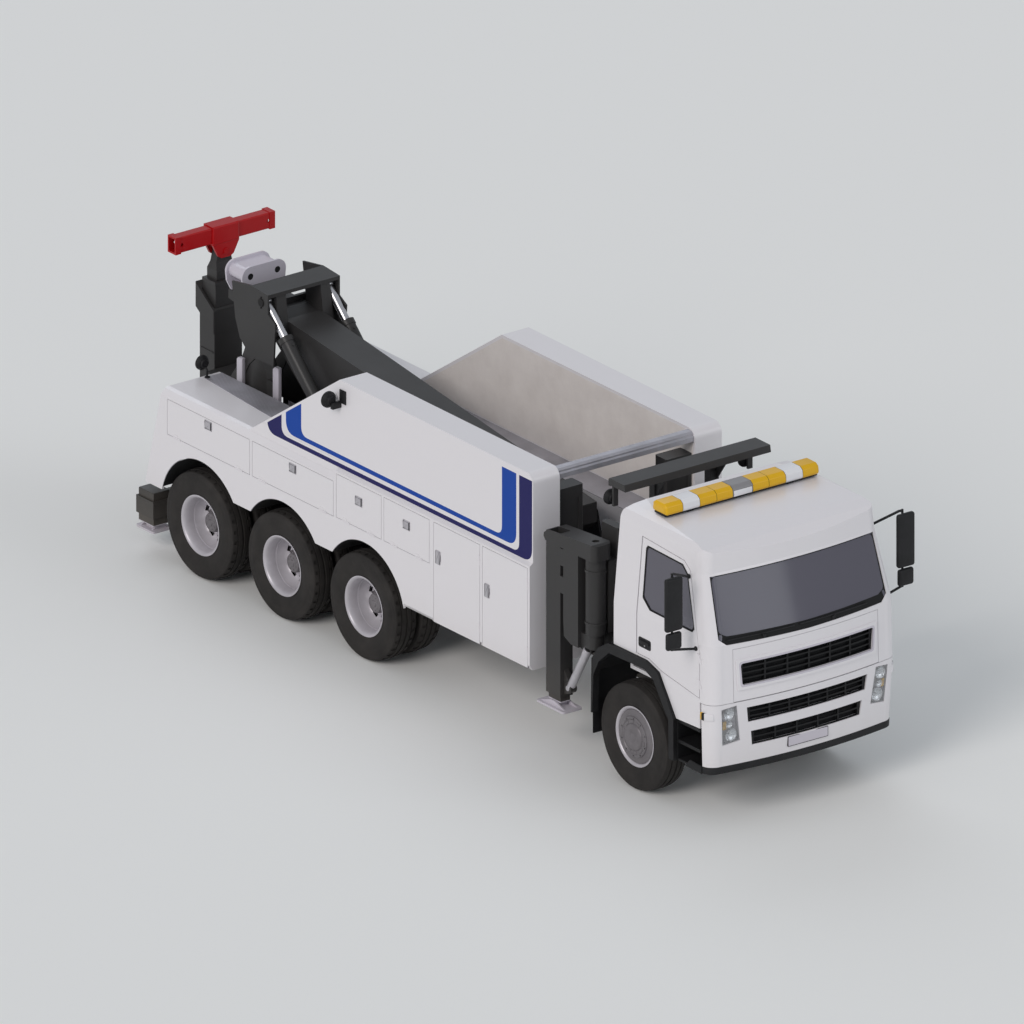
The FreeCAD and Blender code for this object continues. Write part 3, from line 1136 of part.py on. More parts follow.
def headboard():
    """Crossmember on the rails with the two columns, and the posts that carry the lamp beam."""
    cross = box(-900, 900, 660, 840, 1100, 1350)
    cross = cross.cut(box(-880, 880, 672, 828, 1112, 1338))
    feet = pair(box(-RAIL_X, -SUB_IN, 640, 860, RAIL_TOP + FIT, 1102))
    posts = pair(box(-420, -300, 640, 730, 1340, 3140))
    beam = prism_x([(440, 3140), (455, 3217), (715, 3217), (730, 3200), (730, 3130), (700, 3130),
                    (690, 3140)], -950, 950)
    braces = pair(prism_x([(470, 3142), (645, 2900), (645, 3142)], -400, -380))
    cheek = pair(box(-905, -845, 700, 728, 2890, 3140))
    return fuse(cross, *feet, *posts, beam, *braces, *cheek, *pair(outrigger_column()))


save("headboard", headboard())

OUT_SLEEVE = (-1240.0, -1078.0, 1180.0, 1427.0)
ARM_X = (-1240.0, -997.0)


def outrigger_arm():
    """Bracket that swings on the column: top arm, spine, bottom nose, stay and leg sleeve."""
    x0, x1 = ARM_X
    cx, cy = COLUMN
    high = ARM_Z[1]
    top = prism_x([(600, high), (600, 2535), (640, 2548), (1400, 2490), (1465, 2440), (1472, 2400),
                   (1440, high)], x0, x1)
    top = round_edges(top, 60, lambda e: along(e, "z") and e.CenterOfMass.y < 700)
    spine = prism_x([(873, high + 20), (1130, high + 20), (1130, 1560), (1118, 1385), (1000, 1330),
                     (873, 1330)], x0, x1)
    nose = fuse(Part.makeCylinder(88, 150, vec(cx, cy, 1345)), box(cx - 88, cx + 88, cy, 900, 1345, 1495),
                prism_x([(cy, 1345), (cy, 1290), (820, 1262), (1010, 1332), (1010, 1350)],
                        cx - 60, cx + 60))
    x_s0, x_s1, y_s0, y_s1 = OUT_SLEEVE
    sleeve = telescope(x_s0, x_s1, y_s0, y_s1, 670, 2480)
    bridges = [box(x_s0, x_s1 - 4, 1125, 1190, z, z + 190) for z in (1850, 2160)]
    bracket = prism_x([(1182, 980), (1182, 700), (1120, 720), (1075, 790), (1090, 860)], -1190, -1130)
    stay = rod(44, vec(-1160, 790, 1330), vec(-1160, 1110, 790))
    pin_boss = rod(58, vec(-1200, 1108, 790), vec(-1120, 1108, 790))
    whole = fuse(top, spine, nose, sleeve, *bridges, bracket, stay, pin_boss)
    wall = SLEEVE_WALL
    bore = Part.makeCylinder(SWING_PIN + FIT, 1400, vec(cx, cy, 1200))
    space = box(x_s0 + wall, x_s1 - wall, y_s0 + wall, y_s1 - wall, 600, 2700)
    head_clear = prism_z([(x0 - 5, cy - 150), (x1 + 5, cy - 150), (x1 + 5, 868), (x0 - 5, 868)], 1498, high)
    relief = box(x0 + 14, x1 - 14, 890, 1116, 1420, high - 10)
    return cut(whole, bore, space, head_clear, relief.cut(box(x0, x1, 800, 1200, 1840, 1860)))


save("outrigger_arm_right", outrigger_arm())
save("outrigger_arm_left", mirrored(outrigger_arm()))

out_x = (OUT_SLEEVE[0] + OUT_SLEEVE[1]) / 2
out_y = (OUT_SLEEVE[2] + OUT_SLEEVE[3]) / 2
front_leg = fuse(leg(OUT_SLEEVE, 600, 2300, (700.0, 1300.0, 2200.0)),
                 foot_plate(out_x, out_y, 127, 240, 530, 612, "x"))
save("outrigger_leg_right", front_leg)
save("outrigger_leg_left", mirrored(front_leg))

# ---------------------------------------------------------------- mudguards, steps and lamps
LINER = [(690, 430), (690, 800), (645, 1000), (618, 1150), (520, 1340), (345, 1478), (-300, 1492),
         (-470, 1424), (-640, 1200), (-742, 1040), (-748, 640)]
FLARE_IN = [(613, 690), (590, 1127), (498, 1302), (325, 1450), (-286, 1466), (-446, 1398), (-640, 1120),
            (-710, 1035), (-715, 600)]
FLARE_OUT = [(636, 690), (624, 1298), (517, 1447), (338, 1558), (-309, 1562), (-518, 1496), (-657, 1287),
             (-796, 1060), (-800, 600)]


def offset_band(points, thickness, x0, x1):
    """Bent sheet along a line of (y, z) points, its thickness laid to the left of the line."""
    inner = []
    for number, (y, z) in enumerate(points):
        ya, za = points[max(number - 1, 0)]
        yb, zb = points[min(number + 1, len(points) - 1)]
        run = math.hypot(yb - ya, zb - za)
        inner.append((y - (zb - za) / run * thickness, z + (yb - ya) / run * thickness))
    return prism_x(points + inner[::-1], x0, x1)


def front_mudguard():
    flare = prism_x(FLARE_OUT + FLARE_IN[::-1], -1252, -1172)
    liner = offset_band(LINER, 6, -1185, -640).cut(box(-1006, 0, -1000, CAB_REAR + 10, CAB_FLOOR - 5, 2000))
    well = box(-1200, -860, -1222, -790, 600, 1062)
    well = well.cut(box(-1210, -880, -1200, -812, 624, 800)).cut(box(-1210, -880, -1200, -812, 836, 1030))
    well = well.cut(box(-1300, -1160, -1230, -1196, 590, 1070))
    stay = box(-900, -RAIL_X - FIT, -1190, -1150, 960, 1010)
    hanger = box(-700, -RAIL_X - FIT, 655, 690, 960, 1010)
    flap = box(-1180, -760, 684, 696, 420, 760)
    tab = box(-1172, -1150, -800, -735, 640, 1035)
    return fuse(flare, liner, well, stay, hanger, flap, tab)


save("front_mudguards", *pair(front_mudguard()))

# Beacon bar on the cab's roof: body, clear and amber segments of one long rounded lens.
BEACON_Y = (-343.0, -88.0)
ROOF_Z = 3098.0
feet = pair(box(-700, -600, -300, -130, ROOF_Z - 60, ROOF_Z + 20))
tray = box(-960, 960, -300, -130, ROOF_Z + 12, ROOF_Z + 38)
y0, y1 = BEACON_Y
lens = prism_x([(y0 + 10, ROOF_Z + 34), (y0, ROOF_Z + 60), (y0 + 8, ROOF_Z + 130), (y0 + 45, ROOF_Z + 158),
                (y1 - 45, ROOF_Z + 158), (y1 - 8, ROOF_Z + 130), (y1, ROOF_Z + 60), (y1 - 10, ROOF_Z + 34)],
               -1000, 1000)
lens = round_edges(lens, 40, lambda e: not along(e, "x") and abs(e.CenterOfMass.x) > 999
                   and e.CenterOfMass.z > ROOF_Z + 150)
seams = [box(x - 3, x + 3, -400, 0, ROOF_Z + 44, ROOF_Z + 200)
         for x in (-780, -560, -340, -130, 130, 340, 560, 780)]
lens = lens.cut(Part.makeCompound(seams).common(lens.cut(lens.translated(vec(0, 0, -8)))))
bar = fuse(tray, lens, *feet).cut(cab_solid(-FIT))
save("light_bar", bar)


def lamp(radius, depth, face, axis):
    """Round lamp pod: bowl, rim and lens face, looking along the axis."""
    back = face - axis * depth
    bowl = Part.makeCone(radius * 0.55, radius - 6, depth - 24, back, axis)
    rim = Part.makeCylinder(radius, 26, face - axis * 26, axis)
    return fuse(bowl, rim)


REAR = vec(0, 1, 0)
lamps = []
for side in (-1, 1):
    wall_lamp = lamp(90, 80, vec(side * (WALL_X + 101), 5100, 2791), REAR)
    plate = box(-6 + side * (WALL_X + 6 + FIT), 6 + side * (WALL_X + 6 + FIT), 4908, 5016, 2759, 2909)
    reach = (WALL_X + FIT, WALL_X + 116)
    strap = box(min(side * reach[0], side * reach[1]), max(side * reach[0], side * reach[1]),
                4990, 5036, 2700, 2780)
    bracket = (WALL_X + 3, WALL_X + 21)
    arm = box(min(side * bracket[0], side * bracket[1]), max(side * bracket[0], side * bracket[1]),
              4940, 5010, 2720, 2800)
    lamps.append(fuse(wall_lamp, plate, strap, arm))
    deck_lamp = lamp(82, 70, vec(side * 725, 8100, 2100), REAR)
    stalk = rod(12, vec(side * 725, 8000, 2060), vec(side * 725, 8000, DECK_TOP + FIT))
    hook = rod(12, vec(side * 725, 8000, 2058), vec(side * 725, 8060, 2058))
    flange = Part.makeCylinder(30, 8, vec(side * 725, 7972, DECK_TOP + FIT))
    flange = flange.fuse(box(side * 725 - 14, side * 725 + 14, 7960, 8012,
                             DECK_TOP + FIT, DECK_TOP + FIT + 10))
    lamps.append(fuse(deck_lamp, stalk, hook, flange))
    rack_lamp = lamp(85, 74, vec(side * 875, 812, 2965), REAR)
    lug = box(side * 875 - 20, side * 875 + 20, 728 + FIT, 750, 2920, 3010)
    lamps.append(fuse(rack_lamp, lug))

# Headlamp units: three stacked lamps behind a clear cover, set into the bumper's pockets.
cover_in = [(-1076, 1314), (-909, 1334), (-853, 940), (-1048, 911)]
housing = skin(6, 40).common(prism_y(cover_in, -1800, -1300))
stud_side = prism_y([(-965, 1060), (-945, 1060), (-945, 1120), (-965, 1120)], -1800, -1300)
stud = skin(30, 45 - FIT).common(stud_side)
headlamp = fuse(housing, stud)
save("lamps", *lamps, *pair(headlamp))


# ---------------------------------------------------------------- mirrors and cab interior
def mirror():
    """Tall main head above a small wide-angle head, on two bent tubes from the door."""
    head = box(-1620, -1400, -1180, -1110, 2230, 2830)
    head = round_edges(head, 26, lambda e: along(e, "z"))
    wide = box(-1610, -1410, -1178, -1115, 2020, 2215)
    wide = round_edges(wide, 26, lambda e: along(e, "z"))
    spine = rod(13, vec(-1500, -1105, 1985), vec(-1500, -1105, 2870))
    backs = [box(-1535, -1465, -1130, -1095, z, z + 60) for z in (2090, 2320, 2680)]
    top = rod(11, vec(-1500, -1105, 2850), vec(-1176, -950, 2698))
    foot = rod(11, vec(-1500, -1105, 2005), vec(-1232, -1150, 1965))
    pads = [rod(24, vec(-1186, -950, 2698), vec(-1158.8, -950, 2698)),
            rod(24, vec(-1242, -1150, 1965), vec(-1218.9, -1150, 1965))]
    return fuse(head, wide, spine, *backs, top, foot, *pads)


mirror_right = mirror()
save("door_mirrors_right", mirror_right)
save("door_mirrors_left", mirrored(mirror_right))

WHEEL_HUB = vec(440, -905, 1990)
WHEEL_TILT = vec(0, 0.55, 0.835)
column_top = WHEEL_HUB - WHEEL_TILT * 20
steering = fuse(Part.makeTorus(225, 16, WHEEL_HUB, WHEEL_TILT),
                Part.makeCylinder(60, 50, WHEEL_HUB - WHEEL_TILT * 30, WHEEL_TILT),
                rod(14, WHEEL_HUB + vec(-225, 0, 0), WHEEL_HUB + vec(225, 0, 0)),
                rod(14, WHEEL_HUB, WHEEL_HUB + vec(0, 188, -124)),
                rod(34, column_top, vec(440, -1080, 1720)))
dash = prism_x([(-1300, 1640), (-1300, 2010), (-1180, 2030), (-1010, 1960), (-985, 1830), (-1040, 1700),
                (-1200, 1640)], -1090, 1090)
dash = fuse(dash, box(-300, 300, -1310, -960, 1510 + FIT, 1720)).common(cab_solid(CAB_WALL + FIT))
dash = dash.cut(box(-1200, 1200, -1345 - FIT, -1310 + FIT, CAB_FLOOR, 2000))
dash = dash.cut(prism_x([(y, z) for y, z in DOOR], -1400, -1120)).cut(
    prism_x([(y, z) for y, z in DOOR], 1120, 1400))


def seat(x):
    """Pedestal, cushion, backrest and head restraint of one driver's seat."""
    base = box(x - 180, x + 180, -560, -180, CAB_FLOOR + 40 + FIT, 1640)
    base = base.cut(box(x - 190, x + 190, -520, -220, 1320, 1600))
    cushion = round_edges(box(x - 250, x + 250, -680, -130, 1636, 1780), 45, lambda e: not along(e, "z"))
    back = prism_x([(-250, 1700), (-150, 2420), (-40, 2420), (-70, 1700)], x - 235, x + 235)
    back = round_edges(back, 35, lambda e: not along(e, "x") and abs(e.CenterOfMass.x - x) > 230)
    head = round_edges(box(x - 130, x + 130, -140, -45, 2400, 2570), 30, lambda e: True)
    return fuse(base, cushion, back, head)


save("dashboard", fuse(dash, steering))
save("cab_seats", seat(-640), seat(640))
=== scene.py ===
# %% [markdown]
# # A heavy tow truck, finished in Blender
# The truck's hard parts come from the CAD frame: cab, body, boom, axles. This lesson gives them
# their paint, rubber, steel and glass, and adds what CAD leaves plain: tyres with tread, rims
# with nuts, lamps, mirrors, stripes and seats. Everything is in metres. X is the truck's left, Y
# its rear, Z is up.

import math

import bmesh
import bpy
from mathutils import Matrix, Vector


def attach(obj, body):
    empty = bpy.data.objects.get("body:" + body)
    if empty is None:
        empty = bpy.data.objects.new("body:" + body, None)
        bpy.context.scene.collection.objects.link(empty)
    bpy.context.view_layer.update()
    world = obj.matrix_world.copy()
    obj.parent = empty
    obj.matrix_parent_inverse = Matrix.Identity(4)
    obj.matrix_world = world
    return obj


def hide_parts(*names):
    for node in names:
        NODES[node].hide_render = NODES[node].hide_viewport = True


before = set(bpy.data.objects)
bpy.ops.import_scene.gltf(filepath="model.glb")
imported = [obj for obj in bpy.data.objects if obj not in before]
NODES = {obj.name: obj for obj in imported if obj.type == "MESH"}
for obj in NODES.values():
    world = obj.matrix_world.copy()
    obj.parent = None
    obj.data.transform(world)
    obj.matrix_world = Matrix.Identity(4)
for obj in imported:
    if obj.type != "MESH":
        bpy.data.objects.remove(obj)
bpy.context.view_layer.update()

# %% [markdown]
# The CAD drawing measures Y from the front axle, and the frame has its origin under the middle of
# the truck. One constant joins the two, so that a number read off the drawing can be used here.

# %% Places on the truck
MIDDLE = 3.701                    # metres from the front axle to the frame's origin
AXLE_Y = [0.0, 4.615, 6.035, 7.455]
TYRE_R = 0.592
SIDES = (("right", -1), ("left", 1))
# Directions on the right side, where most pieces are drawn.
OUTWARD, INWARD, FORE, AFT = (-1, 0, 0), (1, 0, 0), (0, -1, 0), (0, 1, 0)


def along(y):
    """Frame Y of a place measured behind the front axle."""
    return y - MIDDLE


print("axles in the frame:", [round(along(y), 3) for y in AXLE_Y])


# %% [markdown]
# ## Camera, lamps and floor
# The camera is orthographic and looks at the front right corner from 22 degrees above the
# horizon. An orthographic lens keeps parallel edges parallel, which suits a long vehicle. Three
# soft suns and a pale sky give even light that doesn't hide the true colours: a warm one on the
# near side, cooler ones from the front and from behind.

# %% Camera
scene = bpy.context.scene
TO_CAMERA = Vector((-3, -4, 2)).normalized()
AIM = Vector((0, 3.6715 - MIDDLE, 1.6613))
VIEW_WIDTH = 1024 / 96            # metres across the view
CAMERA_AWAY, SIGHT = 90, 600      # metres to the truck, and how far the camera sees


def looking(place, direction):
    """Matrix that stands at a place and points its Z axis along a direction."""
    return Matrix.Translation(place) @ direction.to_track_quat("Z", "Y").to_matrix().to_4x4()


lens = bpy.data.cameras.new("camera")
lens.type = "ORTHO"
lens.ortho_scale = VIEW_WIDTH
lens.clip_end = SIGHT
camera = bpy.data.objects.new("camera", lens)
camera.matrix_world = looking(AIM + TO_CAMERA * CAMERA_AWAY, TO_CAMERA)
scene.collection.objects.link(camera)
scene.camera = camera
scene.view_settings.view_transform = "Standard"
print("camera scale:", lens.ortho_scale)

# %% Lamps and sky
def soft_sun(name, place, angle, strength, tint):
    """Light from far away that shines from a place towards the truck; a wide angle is softer."""
    light = bpy.data.lights.new(name, "SUN")
    light.color = tint
    light.angle = math.radians(angle)
    light.energy = strength
    lamp = bpy.data.objects.new(name, light)
    lamp.matrix_world = looking(place, (Vector(place) - AIM).normalized())
    scene.collection.objects.link(lamp)


soft_sun("key_lamp", (-26, -9, 19), 28, 1.25, (1.0, 0.955, 0.93))
soft_sun("fill_lamp", (12, -26, 15), 36, 0.42, (0.93, 0.96, 1.0))
soft_sun("back_lamp", (9, 26, 24), 36, 0.4, (0.86, 0.92, 1.0))
print("lamps: key, fill and back")


# %% [markdown]
# ## Colours and nodes
# Paint is named by its sRGB hex value, as on a colour card, but shaders calculate in linear
# light. One function converts. A second small function adds a shader node with its settings and
# its links, so each recipe below reads like a list of ingredients.

# %% Helpers for materials
def linear(code):
    """sRGB hex value as a linear RGBA colour, by the steps of the sRGB standard."""
    parts = [int(code[i:i + 2], 16) / 255 for i in (1, 3, 5)]
    return [p / 12.92 if p <= 0.04045 else ((p + 0.055) / 1.055) ** 2.4 for p in parts] + [1.0]


def add(tree, kind, inputs=(), **settings):
    """New node: settings are its properties, inputs are (socket, value or a node's output)."""
    node = tree.nodes.new("ShaderNode" + kind)
    for key, value in settings.items():
        setattr(node, key, value)
    for socket, value in inputs:
        if isinstance(value, bpy.types.NodeSocket):
            tree.links.new(value, node.inputs[socket])
        else:
            node.inputs[socket].default_value = value
    return node


def new_material(name):
    """Empty material with its output node: (material, tree, output)."""
    material = bpy.data.materials.new(name)
    material.use_nodes = True
    tree = material.node_tree
    tree.nodes.clear()
    return material, tree, add(tree, "OutputMaterial")


def ramp(tree, factor, stops):
    """Colour ramp node with (position, hex colour) stops."""
    node = add(tree, "ValToRGB", [("Fac", factor)])
    points = node.color_ramp.elements
    while len(points) < len(stops):
        points.new(0.5)
    for point, (position, code) in zip(points, stops):
        point.position = position
        point.color = linear(code)
    return node.outputs["Color"]


MM = 0.001
# A Mix node keeps its sockets for colours at these places.
COLOUR_A, COLOUR_B, COLOUR_OUT = 6, 7, 2


def blend(tree, factor, first, second):
    """Colour between two colours, each a hex value or a node's output."""
    first, second = [linear(c) if isinstance(c, str) else c for c in (first, second)]
    node = add(tree, "Mix", [(0, factor), (COLOUR_A, first), (COLOUR_B, second)], data_type="RGBA")
    return node.outputs[COLOUR_OUT]


print("white in linear light:", linear("#ffffff"))

# %% [markdown]
# The floor is a wide pale plane. The sky gives the truck a soft even light, while the camera and
# the glass see a brighter one, whose colour joins on to the floor.

# %% Floor and sky
FLOOR_SIZE = 400
material, tree, out = new_material("studio_floor")
paint = add(tree, "BsdfDiffuse", [("Color", linear("#f2f2f0"))])
tree.links.new(paint.outputs[0], out.inputs["Surface"])
bpy.ops.mesh.primitive_plane_add(size=FLOOR_SIZE)
floor = bpy.context.object
floor.name = "floor"
floor.data.materials.append(material)

world = bpy.data.worlds.new("sky")
scene.world = world
world.use_nodes = True
world.node_tree.nodes.clear()
tree = world.node_tree
path = add(tree, "LightPath")
seen = add(tree, "Math", [(0, path.outputs["Is Camera Ray"]),
                          (1, path.outputs["Is Transmission Ray"])], operation="MAXIMUM")
plain = add(tree, "Background", [("Color", linear("#dfe4ea")), ("Strength", 0.5)])
far = blend(tree, path.outputs["Is Camera Ray"], "#f4f5f6", "#d0d2d3")
white = add(tree, "Background", [("Color", far), ("Strength", 1.0)])
mix = add(tree, "MixShader", [(0, seen.outputs[0]), (1, plain.outputs[0]), (2, white.outputs[0])])
add(tree, "OutputWorld", [("Surface", mix.outputs[0])])
print("floor and sky ready")

# %% [markdown]
# ## Paint
# Lorry paint is a two-pack polyurethane sprayed on steel. It is smooth but never a mirror: the
# spray leaves a fine orange-peel ripple, and dust collects low on the panels, where the wheels
# throw it up. One recipe makes every colour. The ripple is drawn at 6 mm, coarser than the real 1
# mm, so that it still breaks up a highlight at this distance. Dust is a pale brown film whose
# edge is a noise field. A leg in two colours changes from one to the other at a height.

# %% Paint recipe
DUST, DUST_LOW, DUST_TOP = "#a79c8d", 0.35, 1.1     # full below one height, gone above the other
PEEL = 6 * MM


def sprayed_paint(name, code, roughness=0.3, coat=0.35, dust_most=0.3, gloss=0.5, above=None):
    """Paint; above is (height, colour) for the part of a piece that has another colour."""
    material, tree, out = new_material(name)
    place = add(tree, "TexCoord").outputs["Object"]
    split = add(tree, "SeparateXYZ", [(0, place)])
    cloud = add(tree, "TexNoise", [("Vector", place), ("Scale", 2.6), ("Detail", 6.0),
                                   ("Roughness", 0.62)])
    height = add(tree, "MapRange", [("Value", split.outputs["Z"]), ("From Min", DUST_LOW),
                                    ("From Max", DUST_TOP), ("To Min", dust_most), ("To Max", 0.0)])
    film = add(tree, "Math", [(0, height.outputs[0]), (1, cloud.outputs["Fac"])],
               operation="MULTIPLY", use_clamp=True)
    if above:
        step = add(tree, "Math", [(0, split.outputs["Z"]), (1, above[0])], operation="GREATER_THAN")
        code = blend(tree, step.outputs[0], code, above[1])
    colour = blend(tree, film.outputs[0], code, DUST)
    rough = add(tree, "MapRange", [("Value", cloud.outputs["Fac"]), ("To Min", roughness - 0.07),
                                   ("To Max", roughness + 0.09)])
    peel = add(tree, "TexNoise", [("Vector", place), ("Scale", 1 / PEEL), ("Detail", 2.0)])
    bump = add(tree, "Bump", [("Strength", 0.05), ("Distance", 0.4 * MM),
                              ("Height", peel.outputs["Fac"])])
    shader = add(tree, "BsdfPrincipled", [
        ("Base Color", colour), ("Roughness", rough.outputs[0]),
        ("Normal", bump.outputs[0]), ("Coat Weight", coat), ("Coat Roughness", 0.08),
        ("Specular IOR Level", gloss)])
    tree.links.new(shader.outputs[0], out.inputs["Surface"])
    return material


PALE, CHARCOAL = "#c9c4ce", "#353434"
PAINT = {
    "white": sprayed_paint("white_two_pack_paint", "#e4e1e4"),
    "charcoal": sprayed_paint("charcoal_two_pack_paint", CHARCOAL, 0.42, 0.04, 0.2, 0.3),
    "chassis": sprayed_paint("black_chassis_paint", "#1a1a1c", 0.5, 0.0, 0.5, 0.3),
    "red": sprayed_paint("signal_red_paint", "#ab0a10", 0.36, 0.05, gloss=0.25),
    "pale": sprayed_paint("pale_grey_paint", PALE, 0.36),
    "blue_film": sprayed_paint("blue_film", "#1445a0", 0.4, 0.0, gloss=0.15),
    "navy_film": sprayed_paint("navy_film", "#22205a", 0.4, 0.0, gloss=0.15),
    "front_leg": sprayed_paint("two_tone_leg_paint", PALE, 0.4, 0.0, gloss=0.3,
                               above=(0.613, CHARCOAL)),
    "rear_leg": sprayed_paint("two_tone_rear_leg_paint", PALE, 0.4, 0.0, gloss=0.3,
                              above=(0.298, CHARCOAL)),
}
print("paints:", ", ".join(PAINT))

# %% [markdown]
# ## Rubber, plastics and bare metal
# - Tyre rubber is carbon-black filled: nearly black, dull, greyer where dust and wear bloom on it.
# - Moulded plastic of mudguards and mirrors has a leather-like grain pressed in by the mould.
# - Ground and chromed rods, cast iron and aluminium tread plate are metals: the colour is in the
#   reflection, and the roughness tells how the surface was made.
# One recipe serves all of these: a base colour that a noise field varies, and a fine bump.

# %% Grained recipe
def grained(name, dark, light, grain_mm, roughness, metallic=0.0, bump_mm=0.3):
    """Finish that drifts between two colours and has a grain of a size in millimetres."""
    material, tree, out = new_material(name)
    place = add(tree, "TexCoord").outputs["Object"]
    cloud = add(tree, "TexNoise", [("Vector", place), ("Scale", 4.0), ("Detail", 8.0),
                                   ("Roughness", 0.65)])
    colour = ramp(tree, cloud.outputs["Fac"], [(0.3, dark), (0.75, light)])
    grain = add(tree, "TexNoise", [("Vector", place), ("Scale", 1 / (grain_mm * MM)),
                                   ("Detail", 3.0)])
    bump = add(tree, "Bump", [("Strength", 0.35), ("Distance", bump_mm * MM),
                              ("Height", grain.outputs["Fac"])])
    rough = add(tree, "MapRange", [("Value", cloud.outputs["Fac"]), ("To Min", roughness - 0.1),
                                   ("To Max", roughness + 0.1)])
    shader = add(tree, "BsdfPrincipled", [("Base Color", colour), ("Roughness", rough.outputs[0]),
                                          ("Metallic", metallic), ("Normal", bump.outputs[0]),
                                          ("Specular IOR Level", 0.3)])
    tree.links.new(shader.outputs[0], out.inputs["Surface"])
    return material


STUFF = {
    "tyre": grained("tyre_rubber", "#242221", "#383533", 9, 0.78, bump_mm=0.8),
    "plastic": grained("grained_black_plastic", "#161617", "#242426", 5, 0.55),
    "seal": grained("rubber_seal", "#0e0e0f", "#19191a", 7, 0.65),
    "grey_seal": grained("grey_rubber_seal", "#77747a", "#86838a", 7, 0.65),
    "slats": grained("black_grille_plastic", "#0c0c0e", "#18181a", 6, 0.5),
    "cast": grained("cast_iron", "#2a2a2b", "#3d3b39", 8, 0.62, 0.6, 0.8),
    "rod": grained("ground_steel_rod", "#c9c8cc", "#dedde1", 14, 0.26, 1.0, 0.05),
    "rim": grained("silver_rim_enamel", "#b9b5ba", "#cdc9cf", 12, 0.36, 0.25, 0.15),
    "nut": grained("zinc_plated_nuts", "#8e8c8e", "#aaa8a9", 6, 0.34, 0.9, 0.1),
    "cap": grained("grey_hub_enamel", "#6d696c", "#827e81", 12, 0.42, 0.2, 0.2),
    "bowl": grained("bright_reflector", "#d5d6d8", "#e7e8ea", 20, 0.12, 1.0, 0.02),
    "trim": grained("dark_dash_plastic", "#1d1d1f", "#2a2a2c", 6, 0.6),
    "galvanised": grained("galvanised_steel", "#b3b1b5", "#cbc8cd", 16, 0.42, 0.55, 0.15),
    "lacquer": grained("wall_lining_enamel", "#d9d2ce", "#e6e0dc", 18, 0.55, 0.0, 0.15),
}
print("plain finishes:", len(STUFF))

# %% [markdown]
# Tread plate has raised lozenges in two directions, 30 mm apart, so that a wet boot grips it. Two
# even grids of cells, stretched and turned 45 degrees either way, have a lozenge in each cell.

# %% Tread plate
material, tree, out = new_material("aluminium_tread_plate")
place = add(tree, "TexCoord").outputs["Object"]
PITCH = 30 * MM
lozenges = []
for turn in (45, -45):
    turned = add(tree, "Mapping", [("Vector", place), ("Rotation", (0, 0, math.radians(turn))),
                                   ("Scale", (1 / PITCH, 0.45 / PITCH, 0))])
    cell = add(tree, "TexVoronoi", [("Vector", turned.outputs[0]), ("Scale", 1.0),
                                    ("Randomness", 0.0)])
    bar = add(tree, "MapRange", [("Value", cell.outputs["Distance"]), ("From Min", 0.22),
                                 ("From Max", 0.3), ("To Min", 1.0), ("To Max", 0.0)])
    lozenges.append(bar.outputs[0])
both = add(tree, "Math", [(0, lozenges[0]), (1, lozenges[1])], operation="MAXIMUM")
bump = add(tree, "Bump", [("Strength", 0.6), ("Distance", 1.5 * MM), ("Height", both.outputs[0])])
tone = add(tree, "TexNoise", [("Vector", place), ("Scale", 3.0), ("Detail", 5.0)])
shader = add(tree, "BsdfPrincipled", [
    ("Base Color", ramp(tree, tone.outputs["Fac"], [(0.3, "#a9a7ad"), (0.7, "#c3c1c8")])),
    ("Metallic", 0.7), ("Roughness", 0.45), ("Normal", bump.outputs[0])])
tree.links.new(shader.outputs[0], out.inputs["Surface"])
STUFF["tread_plate"] = material
print("tread plate, lozenges every", PITCH, "m")


# %% [markdown]
# ## Glass and lenses
# Lorry windows are tinted laminated glass. Seen from outside in daylight they look grey, because
# they let a third of the light through twice. A principled shader with part transmission and a
# grey base gives that. Lenses are polycarbonate, clear or coloured, with ribs moulded inside the
# coloured ones. Mirror glass is silvered behind, so it is drawn as a metal.

# %% Glass recipe
def clear_stuff(name, code, transmission, roughness, rib_mm=0, metallic=0.0):
    """Glass or plastic; rib_mm is the distance between ribs, or 0 for a plain surface."""
    material, tree, out = new_material(name)
    place = add(tree, "TexCoord").outputs["Object"]
    if rib_mm:
        field = add(tree, "TexWave", [("Vector", place), ("Scale", 1 / (rib_mm * MM * math.tau)),
                                      ("Distortion", 0.0)], bands_direction="X")
        strength, depth = 0.4, 1.2 * MM
    else:
        field = add(tree, "TexNoise", [("Vector", place), ("Scale", 5.0), ("Detail", 4.0)])
        strength, depth = 0.03, 0.5 * MM
    bump = add(tree, "Bump", [("Strength", strength), ("Distance", depth),
                              ("Height", field.outputs["Fac"])])
    shader = add(tree, "BsdfPrincipled", [
        ("Base Color", linear(code)), ("Transmission Weight", transmission), ("IOR", 1.5),
        ("Roughness", roughness), ("Metallic", metallic), ("Normal", bump.outputs[0])])
    tree.links.new(shader.outputs[0], out.inputs["Surface"])
    return material


for key, *recipe in (("window", "tinted_window_glass", "#6f6d79", 0.35, 0.08),
                     ("mirror", "mirror_glass", "#9a9da3", 0.0, 0.05, 0, 1.0),
                     ("clear_lens", "clear_polycarbonate", "#eceef0", 0.9, 0.04),
                     ("amber_lens", "amber_polycarbonate", "#e3b000", 0.0, 0.3, 14),
                     ("white_lens", "white_polycarbonate", "#f1f1f4", 0.1, 0.2, 14),
                     ("grey_lens", "grey_polycarbonate", "#8f8e90", 0.1, 0.25, 14),
                     ("red_lens", "red_polycarbonate", "#9c1013", 0.15, 0.16, 10)):
    STUFF[key] = clear_stuff(*recipe)
print("finishes with the glasses:", len(STUFF))
